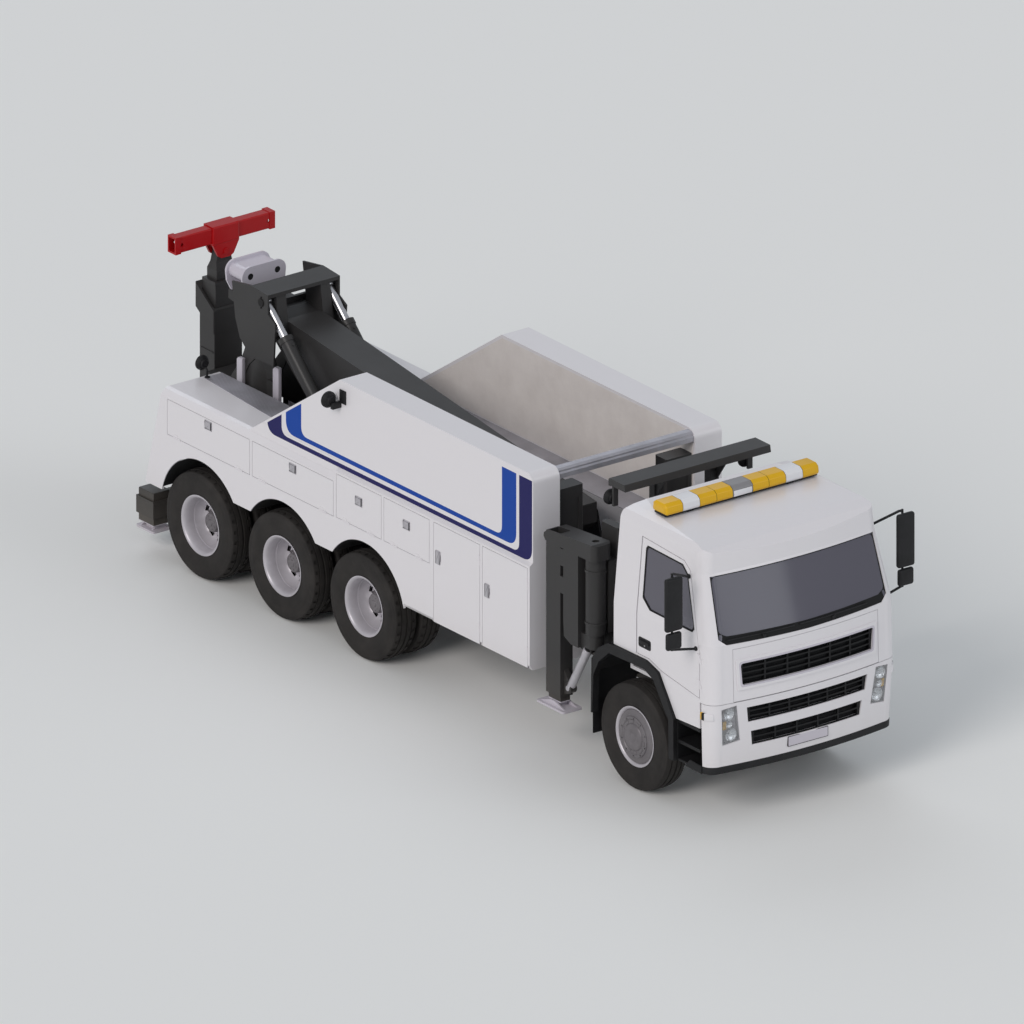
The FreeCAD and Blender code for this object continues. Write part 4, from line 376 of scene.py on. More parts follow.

# %% [markdown]
# ## Seat cloth
# The seats are covered in flat woven cloth with threads about 2 mm apart, drawn at 8 mm so that
# the weave shows. Warp and weft are two waves at right angles, and the higher of the two is on
# top. That height also sets the colour, lighter on the threads and darker between them, which is
# painted shade in the hollows of the weave.

# %% Seat cloth
THREAD = 8 * MM
material, tree, out = new_material("woven_seat_cloth")
place = add(tree, "TexCoord").outputs["Object"]
threads = []
for direction in ("X", "Z"):
    wave = add(tree, "TexWave", [("Vector", place), ("Scale", 1 / (THREAD * math.tau)),
                                 ("Distortion", 0.6)], bands_direction=direction)
    threads.append(wave.outputs["Fac"])
top = add(tree, "Math", [(0, threads[0]), (1, threads[1])], operation="MAXIMUM")
bump = add(tree, "Bump", [("Strength", 0.5), ("Distance", 0.8 * MM), ("Height", top.outputs[0])])
# Painted shade: the colour darkens where the weave is low, between the threads.
shader = add(tree, "BsdfPrincipled", [
    ("Base Color", ramp(tree, top.outputs[0], [(0.2, "#2c2d33"), (0.8, "#4a4b54")])),
    ("Roughness", 0.85), ("Sheen Weight", 0.4), ("Normal", bump.outputs[0])])
tree.links.new(shader.outputs[0], out.inputs["Surface"])
STUFF["cloth"] = material
print("seat cloth, threads every", THREAD, "m")

# %% [markdown]
# ## Finishes on the CAD parts
# Each CAD node keeps its shape and gets the finish of its real part. A node that isn't named in
# the table, such as a door, is white.

# %% Assign finishes
FINISH = {
    "chassis": "chassis_frame subframe",
    "cast": "leaf_springs axles driveline steering_knuckle_left steering_knuckle_right",
    "white": "cab_shell front_panel bumper side_body_right side_body_left",
    "charcoal": "recovery_boom underlift_mast underlift_arm underlift_extension headboard "
                "outrigger_arm_right outrigger_arm_left lift_cylinder_barrels control_cabinets",
    "rod": "lift_cylinder_rods",
    "pale": "boom_roller_head",
    "red": "crosshead",
    "plastic": "front_mudguards",
    "slats": "grilles",
    "window": "windscreen",
    "tread_plate": "deck_plates",
    "trim": "dashboard",
    "front_leg": "outrigger_leg_right outrigger_leg_left",
    "rear_leg": "rear_leg_right rear_leg_left",
}
finish_of = {node: finish for finish, names in FINISH.items() for node in names.split()}
for name, piece in NODES.items():
    finish = finish_of.get(name, "white")
    piece.data.materials.clear()
    piece.data.materials.append(PAINT.get(finish) or STUFF[finish])
print("finished CAD nodes:", len(NODES))

# %% [markdown]
# ## Making a piece
# Every new piece starts as a bmesh. When its shape is done it becomes one object at the origin,
# gets its finish, and rides on the CAD body that carries it. Edges sharper than 35 degrees stay
# crisp. Most pieces are drawn on the truck's right side, where x is below zero, and mirrored to
# the left.

# %% From bmesh to piece
SHARP = math.radians(35)
WELD = 0.02 * MM                  # points closer than this become one


def make(bm, name, finish, body, instead_of=(), flip=False):
    """Object from a bmesh; flip mirrors it to the other side of the truck."""
    bmesh.ops.remove_doubles(bm, verts=bm.verts, dist=WELD)
    if flip:
        bmesh.ops.scale(bm, vec=(-1, 1, 1), verts=bm.verts)
    bmesh.ops.recalc_face_normals(bm, faces=bm.faces)
    for face in bm.faces:
        face.smooth = True
    for edge in bm.edges:
        edge.smooth = len(edge.link_faces) == 2 and edge.calc_face_angle(0) < SHARP
    mesh = bpy.data.meshes.new(name)
    bm.to_mesh(mesh)
    bm.free()
    piece = bpy.data.objects.new(name, mesh)
    scene.collection.objects.link(piece)
    piece.data.materials.append(PAINT.get(finish) or STUFF[finish])
    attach(piece, body)
    for node in instead_of:
        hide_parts(node)
    return piece


def at(x, y, z):
    """Point given in millimetres from the front axle."""
    return Vector((x * MM, along(y * MM), z * MM))


print("the front axle's middle is at", at(0, 0, TYRE_R / MM))

# %% [markdown]
# Four basic shapes do most of the work: a rounded box, a turned shape, a bent bar and a flat
# plate. Each is a short list of numbers and one or two operators.

# %% Rounded box
def bevelled(bm, edges, width, segments):
    """Round edges off, or chamfer them with one segment."""
    bmesh.ops.bevel(bm, geom=edges, offset=width, segments=segments, profile=0.5, affect="EDGES",
                    material=-1)


def block(bm, low, high, round_by=0.0, segments=3):
    """Box between two corners, its edges rounded."""
    size = [b - a for a, b in zip(low, high)]
    middle = [(a + b) / 2 for a, b in zip(low, high)]
    made = bmesh.ops.create_cube(bm, size=1)["verts"]
    bmesh.ops.scale(bm, vec=size, verts=made)
    bmesh.ops.translate(bm, vec=middle, verts=made)
    if round_by:
        bevelled(bm, list({edge for vert in made for edge in vert.link_edges}), round_by, segments)


print("box helper ready")

# %% Turned shape
def line(bm, points, closed=False):
    """Points joined by edges; a closed line also joins its two ends."""
    verts = [bm.verts.new(p) for p in points]
    pairs = list(zip(verts, verts[1:])) + ([(verts[-1], verts[0])] if closed else [])
    return verts, [bm.edges.new(pair) for pair in pairs]


def spun(bm, points, axis, centre, steps=48, closed=False):
    """Surface of revolution of (distance along the axis, radius) points."""
    axis = Vector(axis).normalized()
    out = axis.orthogonal().normalized()
    centre = Vector(centre)
    verts, edges = line(bm, [centre + axis * a + out * r for a, r in points], closed)
    bmesh.ops.spin(bm, geom=verts + edges, cent=centre, axis=axis, angle=math.tau, steps=steps,
                   use_merge=True, use_duplicate=False)


def button(bm, radius, height, axis, centre, steps):
    """Short cylinder, as for a bolt head or a lock."""
    spun(bm, [(0, 0), (0, radius), (height, radius), (height, 0)], axis, centre, steps)


print("turning helpers ready")

# %% Bent bar
def tube(bm, points, radius, segments=12):
    """Round bar through a few points: a disc carried from point to point and bridged."""
    rings = []
    places = [Vector(p) for p in points]
    for index, place in enumerate(places):
        before = places[max(index - 1, 0)]
        after = places[min(index + 1, len(places) - 1)]
        end = index in (0, len(places) - 1)
        made = bmesh.ops.create_circle(bm, cap_ends=end, segments=segments, radius=radius,
                                       matrix=looking(place, after - before))["verts"]
        rings.append(list({e for v in made for e in v.link_edges if len(e.link_faces) < 2
                           and all(w in made for w in e.verts)}))
    for first, second in zip(rings, rings[1:]):
        bmesh.ops.bridge_loops(bm, edges=first + second)


print("bar helper ready")

# %% Outlines
def oblong(left, right, low, high, inset=0):
    """Four corners of an oblong, or of a smaller one inside it."""
    return [(left + inset, low + inset), (right - inset, low + inset),
            (right - inset, high - inset), (left + inset, high - inset)]


def rounded(corners, radius, steps=6, closed=True):
    """Outline with its corners rounded; an open line keeps its two ends."""
    points = []
    for index, corner in enumerate(corners):
        spot = Vector(corner)
        if not closed and index in (0, len(corners) - 1):
            points.append(spot)
            continue
        before = Vector(corners[index - 1]) - spot
        after = Vector(corners[(index + 1) % len(corners)]) - spot
        # No curve takes up more than its share of a side.
        most = 0.49 * min(before.length, after.length)
        reach = min(radius / math.tan(before.angle(after) / 2), most)
        start, end = spot + before.normalized() * reach, spot + after.normalized() * reach
        points += [start.lerp(spot, t).lerp(spot.lerp(end, t), t)
                   for t in (step / steps for step in range(steps + 1))]
    return points


print("an oblong with round corners:", len(rounded(oblong(0, 9, 0, 9), 1)), "points")

# %% Flat plate and band
def pulled(bm, faces, step):
    """Extrude faces by a step: the faces that this makes."""
    made = bmesh.ops.extrude_face_region(bm, geom=faces)["geom"]
    bmesh.ops.translate(bm, vec=step, verts=[v for v in made if isinstance(v, bmesh.types.BMVert)])
    return [f for f in made if isinstance(f, bmesh.types.BMFace)]


def plate(bm, outline, axis, start, end, round_by=0.0):
    """Flat plate: an outline in millimetres, extruded along an axis from start to end."""
    turn = {"X": lambda a, b, c: at(c, a, b), "Y": lambda a, b, c: at(a, c, b), "Z": at}[axis]
    face = bm.faces.new([bm.verts.new(turn(a, b, start)) for a, b in outline])
    far = pulled(bm, [face], turn(0, 0, end) - turn(0, 0, start))
    if round_by:
        near = set(face.edges) | {edge for item in far for edge in item.edges}
        bevelled(bm, list(near), round_by * MM, 2)


def strip(bm, outer, inner, thickness, push, closed=True):
    """Band between two outlines of equal point count, thickened along push."""
    rings = [line(bm, points, closed)[1] for points in (outer, inner)]
    bmesh.ops.bridge_loops(bm, edges=rings[0] + rings[1])
    faces = list({face for edge in rings[0] for face in edge.link_faces})
    pulled(bm, faces, Vector(push) * thickness * MM)


print("plate helpers ready")

# %% [markdown]
# ## Tyres
# A lorry tyre is a casing with bulging sidewalls, square shoulders and a tread some 15 mm deep.
# The profile is drawn once, from bead to bead, and spun round the axle. Grooves are steps in the
# profile. On the driven axles the shoulders are cut across into lugs: every third face is inset
# and pushed in.

# %% Places round an axle
def axle_at(y):
    """Middle of an axle, as high as a tyre is round."""
    return Vector((0, along(y), TYRE_R))


def round_axle(face, y):
    """Where a face lies on a wheel: distance along the axle, radius, and angle in degrees."""
    spot = face.calc_center_median() - axle_at(y)
    return spot.x, spot.yz.length, math.degrees(math.atan2(spot.z, spot.y)) % 360


def turned(bm, points, y, steps, closed=False):
    """Shape spun round an axle, from points in millimetres."""
    spun(bm, [(a * MM, r * MM) for a, r in points], (1, 0, 0), axle_at(y), steps, closed)


print("axles at:", [round(axle_at(y).y, 3) for y in AXLE_Y])

# %% Tyre
SHOULDER = (72, 112)              # from the tyre's middle plane, in millimetres
TREAD_R = 0.57                    # lugs are cut only above this radius
LUG_DEPTH = 11


def tyre_profile(middle):
    """Half of the outline as (from the middle plane, radius) in millimetres, then the whole."""
    half = [(104, 318), (112, 330), (122, 338), (126, 352), (137, 392), (145, 440), (146, 470),
            (144, 505), (141, 512), (142, 524), (136, 556), (127, 573), (112, 580), (72, 586),
            (69, 573), (60, 573), (57, 588), (14, 591), (11, 577), (4, 577)]
    return [(middle + a, r) for a, r in half + [(-a, r) for a, r in half[::-1]]]


def tyre(name, middle, y, side, body, lugs, instead_of=()):
    """One tyre, with lugs across its shoulders or without."""
    steps = 96 if lugs else 72
    bm = bmesh.new()
    turned(bm, tyre_profile(middle), y, steps)
    shoulder = []
    for face in bm.faces if lugs else ():
        across, radius, turn = round_axle(face, y)
        on_shoulder = SHOULDER[0] < abs(across / MM - middle) < SHOULDER[1] and radius > TREAD_R
        if on_shoulder and int(turn / (360 / steps)) % 3 == 0:
            shoulder.append(face)
    bmesh.ops.inset_individual(bm, faces=shoulder, thickness=2 * MM, depth=-LUG_DEPTH * MM)
    make(bm, name, "tyre", body, instead_of, flip=side < 0)


print("tyre profile:", len(tyre_profile(0)), "points")

# %% [markdown]
# ## Rims and hubs
# The rear rims are dished: the disc sits deep inside, so that two of them bolt back to back. The
# disc has ten hand holes for cooling, ten nuts round the hub, and a domed oil cap. The front rim
# carries a stepped grey cover. The disc is spun as a thin sheet, some faces are removed for the
# holes, and solidify gives the rest the thickness of pressed steel. Wheels are drawn on the left
# side.

# %% Rim barrel and nuts
OUTER_MIDDLE, INNER_MIDDLE = 1099.0, 765.0          # middle planes of the twin tyres


def rim_barrel(bm, middle, y):
    """Rim with its two lips, which hold the beads of the tyre."""
    lip = 112
    turned(bm, [(middle + a, r) for a, r in (
        (lip + 12, 330), (lip + 14, 322), (lip + 10, 312), (lip, 300), (lip - 20, 292), (60, 282),
        (-60, 282), (-lip + 20, 292), (-lip, 300), (-lip - 10, 312), (-lip - 14, 322),
        (-lip - 12, 330), (-lip - 6, 326), (-lip + 4, 306), (-60, 290), (60, 290), (lip - 4, 306),
        (lip + 6, 326))], y, 64, closed=True)


def nuts(bm, face_x, y, count, ring, size, height):
    """Hexagon nuts with round washers on a ring, their stud ends showing."""
    for index in range(count):
        turn = math.tau * (index + 0.5) / count
        spot = Vector((face_x, along(y) + ring * math.cos(turn), TYRE_R + ring * math.sin(turn)))
        place = Matrix.Translation(spot) @ Matrix.Rotation(math.pi / 2, 4, "Y")
        for radius, length, sides in ((size * 0.72, height * 0.25, 16), (size * 0.6, height, 6),
                                      (size * 0.32, height * 1.35, 10)):
            bmesh.ops.create_cone(bm, cap_ends=True, segments=sides, radius1=radius,
                                  radius2=radius * 0.94, depth=length,
                                  matrix=place @ Matrix.Translation((0, 0, length / 2)))


print("twin tyres stand", OUTER_MIDDLE - INNER_MIDDLE, "mm apart")

# %% Rear wheel
HAND_HOLE_R, HAND_HOLE_TURN, HAND_HOLES = (0.2, 0.252), (9, 27), 10
DISC_SHEET = 9 * MM
WHEEL_NUTS, CAP_BOLTS = 10, 8


def rear_wheel(number, y, label, side):
    """Twin tyres with their rims, hub and nuts, all on one body."""
    body = f"rear_wheel_{number}_{label}"
    tyre(f"outer_tyre_{number}_{label}", OUTER_MIDDLE, y, side, body, True, [body])
    tyre(f"inner_tyre_{number}_{label}", INNER_MIDDLE, y, side, body, True)
    bm = bmesh.new()
    turned(bm, [(1090, 284), (1060, 280), (1010, 266), (975, 244), (960, 226), (953, 206),
                (951, 160), (951, 120)], y, 80)
    holes = []
    for face in bm.faces:
        _, radius, turn = round_axle(face, y)
        in_hole = HAND_HOLE_TURN[0] < turn % (360 / HAND_HOLES) < HAND_HOLE_TURN[1]
        if in_hole and HAND_HOLE_R[0] < radius < HAND_HOLE_R[1]:
            holes.append(face)
    bmesh.ops.delete(bm, geom=holes, context="FACES")
    bmesh.ops.solidify(bm, geom=bm.faces[:], thickness=DISC_SHEET)
    rim_barrel(bm, OUTER_MIDDLE, y)
    rim_barrel(bm, INNER_MIDDLE, y)
    make(bm, f"rear_rims_{number}_{label}", "rim", body, flip=side < 0)
    bm = bmesh.new()
    turned(bm, [(690, 0), (690, 76), (706, 130), (850, 142), (930, 142), (951, 142), (958, 138),
                (962, 122), (990, 114), (1062, 108), (1084, 98), (1090, 84), (1092, 40), (1100, 34),
                (1102, 0)], y, 48)
    make(bm, f"rear_hub_{number}_{label}", "cap", body, flip=side < 0)
    bm = bmesh.new()
    nuts(bm, 0.953, y, WHEEL_NUTS, 0.1675, 0.026, 0.032)
    nuts(bm, 1.088, y, CAP_BOLTS, 0.072, 0.009, 0.008)
    make(bm, f"rear_nuts_{number}_{label}", "nut", body, flip=side < 0)


for number, y in enumerate(AXLE_Y[1:], 1):
    for label, side in SIDES:
        rear_wheel(number, y, label, side)
print("rear wheels:", 2 * (len(AXLE_Y) - 1))

# %% Front wheels
FRONT_MIDDLE = 1032
# Shallow dishes in the hub cover, one for each nut.
SUNK_R, SUNK_TURN, SUNK_DEPTH = (0.149, 0.19), 18, 5
for label, side in SIDES:
    body = f"front_wheel_{label}"
    tyre(f"front_tyre_{label}", FRONT_MIDDLE, 0, side, body, False, [body])
    bm = bmesh.new()
    rim_barrel(bm, FRONT_MIDDLE, 0)
    make(bm, f"front_rim_{label}", "rim", body, flip=side < 0)
    bm = bmesh.new()
    turned(bm, [(1040, 282), (1112, 290), (1138, 297), (1146, 290), (1149, 268), (1153, 240),
                (1160, 226), (1172, 222), (1173, 196), (1166, 188), (1168, 150), (1179, 143),
                (1184, 132), (1186, 60), (1181, 52), (1186, 0)], 0, 64)
    sunk = []
    for face in bm.faces:
        _, radius, turn = round_axle(face, 0)
        if SUNK_R[0] < radius < SUNK_R[1] and turn % (360 / WHEEL_NUTS) < SUNK_TURN:
            sunk.append(face)
    bmesh.ops.inset_region(bm, faces=sunk, thickness=4 * MM, depth=-SUNK_DEPTH * MM)
    make(bm, f"front_hub_cover_{label}", "cap", body, flip=side < 0)
    bm = bmesh.new()
    nuts(bm, 1.170, 0, WHEEL_NUTS, 0.2075, 0.014, 0.014)
    make(bm, f"front_nuts_{label}", "nut", body, flip=side < 0)
print("front wheels: 2")

# %% [markdown]
# ## Stripes on the side walls
# The livery is a blue and a navy band of self-adhesive film. Each band runs down the front of the
# wall, turns through a rounded corner, follows the bottom edge and rises again at the rear, where
# the sloping edge of the wall cuts it off. One band is the strip between two rounded U-shaped
# lines. The films are laid 0.8 mm thick on the wall, so they catch light as paint would, and are
# cut by the same slope as the wall.

# %% Slope of the wall
WALL_FACE = 1229.0
SLOPE_TOP, SLOPE_FOOT = (5021, 2978), (6575, 1930)


def cut_by_slope(bm, lift=0):
    """Keep what lies under the wall's sloping edge, raised by lift, and close the cut."""
    fall = at(0, *SLOPE_FOOT) - at(0, *SLOPE_TOP)
    bmesh.ops.bisect_plane(bm, geom=bm.verts[:] + bm.edges[:] + bm.faces[:], clear_outer=True,
                           plane_co=at(0, SLOPE_TOP[0], SLOPE_TOP[1] + lift),
                           plane_no=Vector(INWARD).cross(fall))
    bmesh.ops.holes_fill(bm, edges=[e for e in bm.edges if len(e.link_faces) == 1])


print("slope:", SLOPE_FOOT[0] - SLOPE_TOP[0], "mm long,", SLOPE_TOP[1] - SLOPE_FOOT[1], "mm high")

# %% Stripes
# Each line of a band: front, rear and bottom of the U. The outer line turns on a wider radius.
STRIPES = (("blue", (1958, 5958, 2119), (2207, 5692, 2169)),
           ("navy", (1684, 6283, 2023), (1908, 6033, 2072)))
STRIPE_TOP, OUTER_TURN, INNER_TURN, FILM = 2937, 150, 105, 0.8
for label, side in SIDES:
    for name, outer, inner in STRIPES:
        lines = []
        for front, rear, bottom, radius in ((*outer, OUTER_TURN), (*inner, INNER_TURN)):
            corners = [(front, STRIPE_TOP), (front, bottom), (rear, bottom), (rear, STRIPE_TOP)]
            lines.append([at(-WALL_FACE - 0.05, *p) for p in rounded(corners, radius, 8, False)])
        bm = bmesh.new()
        strip(bm, *lines, FILM, OUTWARD, closed=False)
        cut_by_slope(bm)
        make(bm, f"{name}_stripe_{label}", f"{name}_film", "truck", flip=side > 0)
print("stripes: 4")

# %% [markdown]
# ## The cab's skin, as a formula
# Glass, films, trims and lamp covers have to follow the bowed nose of the cab. Its plan outline
# is known at five heights and runs straight between them. One function gives the depth of the
# nose at any width and height, another lays a patch on it, and a third skins a row of lines.

# %% Cab surface
# Height, half width, front at the corners, front in the middle, corner radius.
CAB_SECTIONS = ((590, 1205, -1362, -1450, 150), (1380, 1220, -1415, -1512, 160),
                (2030, 1218, -1400, -1490, 170), (2765, 1150, -1180, -1252, 150),
                (3140, 1116, -1170, -1240, 150))


def cab_plan(z):
    """Half width, front at the corners, front in the middle and corner radius at a height."""
    for low, high in zip(CAB_SECTIONS, CAB_SECTIONS[1:]):
        if z <= high[0]:
            part = (z - low[0]) / (high[0] - low[0])
            return [a + (b - a) * part for a, b in zip(low[1:], high[1:])]
    return list(CAB_SECTIONS[-1][1:])


def nose(x, z, inset=0.0):
    """Depth of the cab's front face, or of a layer under it."""
    half, corner, middle, radius = cab_plan(z)
    half, corner, middle = half - inset, corner + inset, middle + inset
    flat = half - radius
    if abs(x) <= flat:
        bow = (flat ** 2 + (corner - middle) ** 2) / (2 * (corner - middle))
        return middle + bow - math.sqrt(bow ** 2 - x ** 2)
    return corner + radius - math.sqrt(max(radius ** 2 - (abs(x) - flat) ** 2, 0))


def on_nose(x, z, inset):
    """Point on the nose, or on a layer under it."""
    return at(x, nose(x, z, inset), z)


print("nose at the waist:", round(nose(0, 1380)), round(nose(1100, 1380)))

# %% Sheets on the cab
def skinned(bm, lines, thickness=0.0, closed=False):
    """Sheet through a row of point lines, given a thickness."""
    edges = [line(bm, points, closed)[1] for points in lines]
    faces = []
    for first, second in zip(edges, edges[1:]):
        faces += bmesh.ops.bridge_loops(bm, edges=first + second)["faces"]
    bmesh.ops.recalc_face_normals(bm, faces=faces)
    if thickness:
        bmesh.ops.solidify(bm, geom=faces, thickness=thickness * MM)


def patch(bm, corners, inset, thickness, columns=8, rows=6):
    """Piece of the nose between four corners, which run once round it from the top."""
    a, b, c, d = [Vector(p) for p in corners]
    lines = []
    for row in range(rows + 1):
        left, right = a.lerp(d, row / rows), b.lerp(c, row / rows)
        lines.append([on_nose(*left.lerp(right, n / columns), inset) for n in range(columns + 1)])
    skinned(bm, lines, thickness)


def matched(first, second, longest=60):
    """Two closed outlines of equal point count, their sides divided alike into short steps."""
    results = [], []
    for n in range(len(first)):
        sides = [(line[n], line[(n + 1) % len(line)]) for line in (first, second)]
        parts = max(1, math.ceil(max((b - a).length for a, b in sides) / longest))
        for result, (a, b) in zip(results, sides):
            result.extend(a.lerp(b, step / parts) for step in range(parts))
    return results


print("a patch has", 8 * 6, "faces on its front")

# %% [markdown]
# ## Windscreen and side windows
# The laminated windscreen has a printed black edge, deep along the foot where the wipers park. It
# is drawn as a thin ring on the glass. The door glass is a flat tinted pane in a black rubber
# channel, and rides on the door.

# %% Windscreen edge
SCREEN = [(-1096, 2100), (-1062, 2738), (1062, 2738), (1096, 2100), (1010, 2030), (0, 2012),
          (-1010, 2030)]
CLEAR = [(-1074, 2160), (-1046, 2724), (1046, 2724), (1074, 2160), (985, 2116), (0, 2098),
         (-985, 2116)]
CREASE = 2031                     # just above the bend where the glass leans back
PRINT_INSET, PRINT_SHEET = 9.5, 2.4
outer, inner = matched(rounded(SCREEN, 12, 5), rounded(CLEAR, 60, 5))
halfway = [p.lerp(q, 0.05) for p, q in zip(outer, inner)]
halfway = [Vector((p.x, max(p.y, CREASE))) for p in halfway]
bm = bmesh.new()
skinned(bm, [[on_nose(*p, PRINT_INSET) for p in ring] for ring in (outer, halfway, inner)],
        PRINT_SHEET, closed=True)
make(bm, "windscreen_edge", "seal", "truck")
print("windscreen edge:", len(outer), "points a ring")

# %% Wipers
PIVOT_Z, BLADE_Z = 2050, 2080
for name, x, blade in (("right", -560, (-1000, -180)), ("left", 330, (-110, 800))):
    bm = bmesh.new()
    spun(bm, [(0, 0), (0, 0.022), (0.012, 0.02), (0.02, 0.012), (0.022, 0)], FORE,
         on_nose(x, PIVOT_Z, 10), 20)
    middle = (blade[0] + blade[1]) / 2
    tube(bm, [on_nose(x + (middle - x) * t, PIVOT_Z + 34 * t, -4 - 12 * t)
              for t in (0, 0.2, 0.7, 1)], 0.006, 8)
    steps = [blade[0] + (blade[1] - blade[0]) * n / 12 for n in range(13)]
    for inset, radius, segments in ((-2, 0.008, 8), (6, 0.005, 6)):
        tube(bm, [on_nose(p, BLADE_Z, inset) for p in steps], radius, segments)
    make(bm, f"wiper_{name}", "plastic", "truck")
print("wipers: 2")

# %% Lines on the door
WINDOW = [(-194, 2226), (-190, 2770), (-215, 2806), (-830, 2794), (-925, 2716), (-1105, 2160),
          (-1070, 2118), (-330, 2124)]
WINDOW_MIDDLE = (-620, 2450)


def on_flank(y, z, out):
    """Point on the right flank of the cab, moved outwards."""
    return at(-cab_plan(z)[0] - out, y, z)


def window_line(gap, radius, out):
    """The window's outline, drawn in by a gap and moved outwards from the flank."""
    corners = [(y + math.copysign(gap, WINDOW_MIDDLE[0] - y),
                z + math.copysign(gap, WINDOW_MIDDLE[1] - z)) for y, z in WINDOW]
    return [on_flank(*p, out) for p in rounded(corners, radius, 4)]


print("window outline:", len(window_line(0, 40, 0)), "points")

# %% Door glass, seals and handles
for label, side in SIDES:
    body = f"cab_door_{label}"
    bm = bmesh.new()
    strip(bm, window_line(-3, 40, 2.5), window_line(17, 55, 0.5), 26, INWARD)
    make(bm, f"door_window_seal_{label}", "seal", body, flip=side > 0)
    bm = bmesh.new()
    pane = bm.faces.new([bm.verts.new(p) for p in window_line(10, 50, -7)])
    bmesh.ops.solidify(bm, geom=[pane], thickness=5 * MM)
    make(bm, f"door_glass_{label}", "window", body, flip=side > 0)
    bm = bmesh.new()
    dish = rounded(oblong(-365, -154, 1680, 1790), 26)
    well = rounded(oblong(-345, -172, 1698, 1772), 20)
    strip(bm, [on_flank(*p, 4) for p in dish], [on_flank(*p, 2) for p in well], 8, INWARD)
    plate(bm, well, "X", -1219.5, -1216)
    block(bm, at(-1231, -338, 1722), at(-1223, -180, 1760), 0.0035, 2)
    for y in (-330, -196):
        block(bm, at(-1226, y, 1728), at(-1217, y + 8, 1754))
    make(bm, f"door_handle_{label}", "plastic", body, flip=side > 0)
    bm = bmesh.new()
    spun(bm, [(0, 0), (0, 0.011), (0.003, 0.01), (0.0035, 0)], OUTWARD,
         at(-1221, -259, 1709), 20)
    make(bm, f"door_lock_{label}", "nut", body, flip=side > 0)
print("door glass and handles: 2 sides")

# %% [markdown]
# ## Bumper, grilles and plate
# The bumper ends in a black lip that wraps round to the steps. A wire net stands behind the slats
# of each grille, with a dark cover behind it, and a grey frame goes round the upper one. The
# number plate is blank.

# %% Bumper lip
def cab_path(z, out, rear=-1240, steps=8):
    """Line round the nose of the cab at one height, from the right flank to the left."""
    half, corner, _, radius = cab_plan(z)
    flat = half - radius
    turn = [(flat + (radius + out) * math.sin(a), corner + radius - (radius + out) * math.cos(a))
            for a in (math.pi / 2 * n / steps for n in range(steps, -1, -1))]
    across = [(flat * (1 - n / 12), nose(flat * (1 - n / 12), z, -out)) for n in range(1, 24)]
    left = [(half + out, rear)] + turn
    return [at(-x, y, z) for x, y in left] + [at(-x, y, z) for x, y in across] + [
        at(x, y, z) for x, y in left[::-1]]


bm = bmesh.new()
skinned(bm, [cab_path(z, out) for z, out in ((586, 1), (590, 5), (660, 5), (668, 1))], 8)
make(bm, "bumper_lip", "plastic", "truck")
print("bumper lip:", len(cab_path(590, 5)), "points a line")

# %% Grilles
# Half width at the top and at the foot, low edge, high edge.
GRILLES = ((868, 850, 1556, 1806), (785, 762, 1124, 1296), (722, 702, 852, 1014))
MESH, WIRE = 26, 3
bm = bmesh.new()
for top, foot, low, high in GRILLES:
    columns, rows = round(2 * foot / MESH), round((high - low) / MESH)
    patch(bm, [(top, high), (-top, high), (-foot, low), (foot, low)], 46, 0, columns, rows)
bmesh.ops.wireframe(bm, faces=bm.faces[:], thickness=WIRE * MM, use_replace=True,
                    use_boundary=True, use_even_offset=True)
make(bm, "grille_nets", "slats", "truck")

bm = bmesh.new()
patch(bm, [(800, 1305), (-800, 1305), (-800, 845), (800, 845)], 62, 4, 24, 2)
patch(bm, [(872, 1812), (-872, 1812), (-856, 1550), (856, 1550)], 52, 2, 24, 3)
make(bm, "radiator_cover", "slats", "truck")

top, foot, low, high = GRILLES[0]
outer, inner = matched(*[
    rounded([(top + grow, high + grow), (-top - grow, high + grow),
             (-foot - grow, low - grow), (foot + grow, low - grow)], radius, 5)
    for grow, radius in ((28, 42), (-3, 34))])
bm = bmesh.new()
strip(bm, [on_nose(*p, -13.5) for p in outer], [on_nose(*p, -15) for p in inner], 19, AFT)
make(bm, "grille_frame", "pale", "truck")
print("grilles:", len(GRILLES))

# %% Blank number plate
PLATE_Z = 790
for name, finish, half, tall, radius, front, back in (
        ("plate_holder", "plastic", 262, 57, 10, -3, 12),
        ("blank_plate", "pale", 255, 50, 8, -5, -2.5)):
    bm = bmesh.new()
    plate(bm, rounded(oblong(-half, half, PLATE_Z - tall, PLATE_Z + tall), radius), "Y",
          nose(0, PLATE_Z) + front, nose(0, PLATE_Z) + back)
    make(bm, name, finish, "truck")
print("plate:", 2 * half, "x", 2 * tall, "mm")

# %% [markdown]
# A turn lamp wraps round each corner of the bumper. It is a white pod, a black band and an amber
# lens, one behind the other on the same curve.

# %% Turn lamps
LAMP_LOW, LAMP_HIGH = 1206, 1284
half, corner, _, radius = cab_plan((LAMP_LOW + LAMP_HIGH) / 2)
for label, side in SIDES:
    for name, finish, y0, y1, out in (("pod", "white", -1378, -1300, 20),
                                      ("band", "plastic", -1300, -1268, 24),
                                      ("lens", "amber_lens", -1268, -1243, 18)):
        curve = []
        for n in range(7):
            y = y0 + (y1 - y0) * n / 6
            reach = max(corner + radius - y, 0)
            curve.append((half - radius + math.sqrt(radius ** 2 - reach ** 2), y))
        bm = bmesh.new()
        plate(bm, [(-x - out, y) for x, y in curve] + [(-x + 8, y) for x, y in curve[::-1]],
              "Z", LAMP_LOW, LAMP_HIGH, 3)
        make(bm, f"turn_{name}_{label}", finish, "truck", flip=side > 0)
print("turn lamps: 2")

# %% [markdown]
# ## Headlamps
# Behind each clear cover sit two deep reflectors, a small one between them and an amber turn
# lamp. The reflectors are spun bowls with a bulb on a short neck. They stand in a silver housing
# sunk into the bumper's pocket.

# %% Headlamps
COVER = [(-909, 1334), (-1076, 1314), (-1048, 911), (-853, 940)]
BACK_INSET, WALL_INSETS, COVER_INSET, SHELL = 44, (43, 7), 3, 3
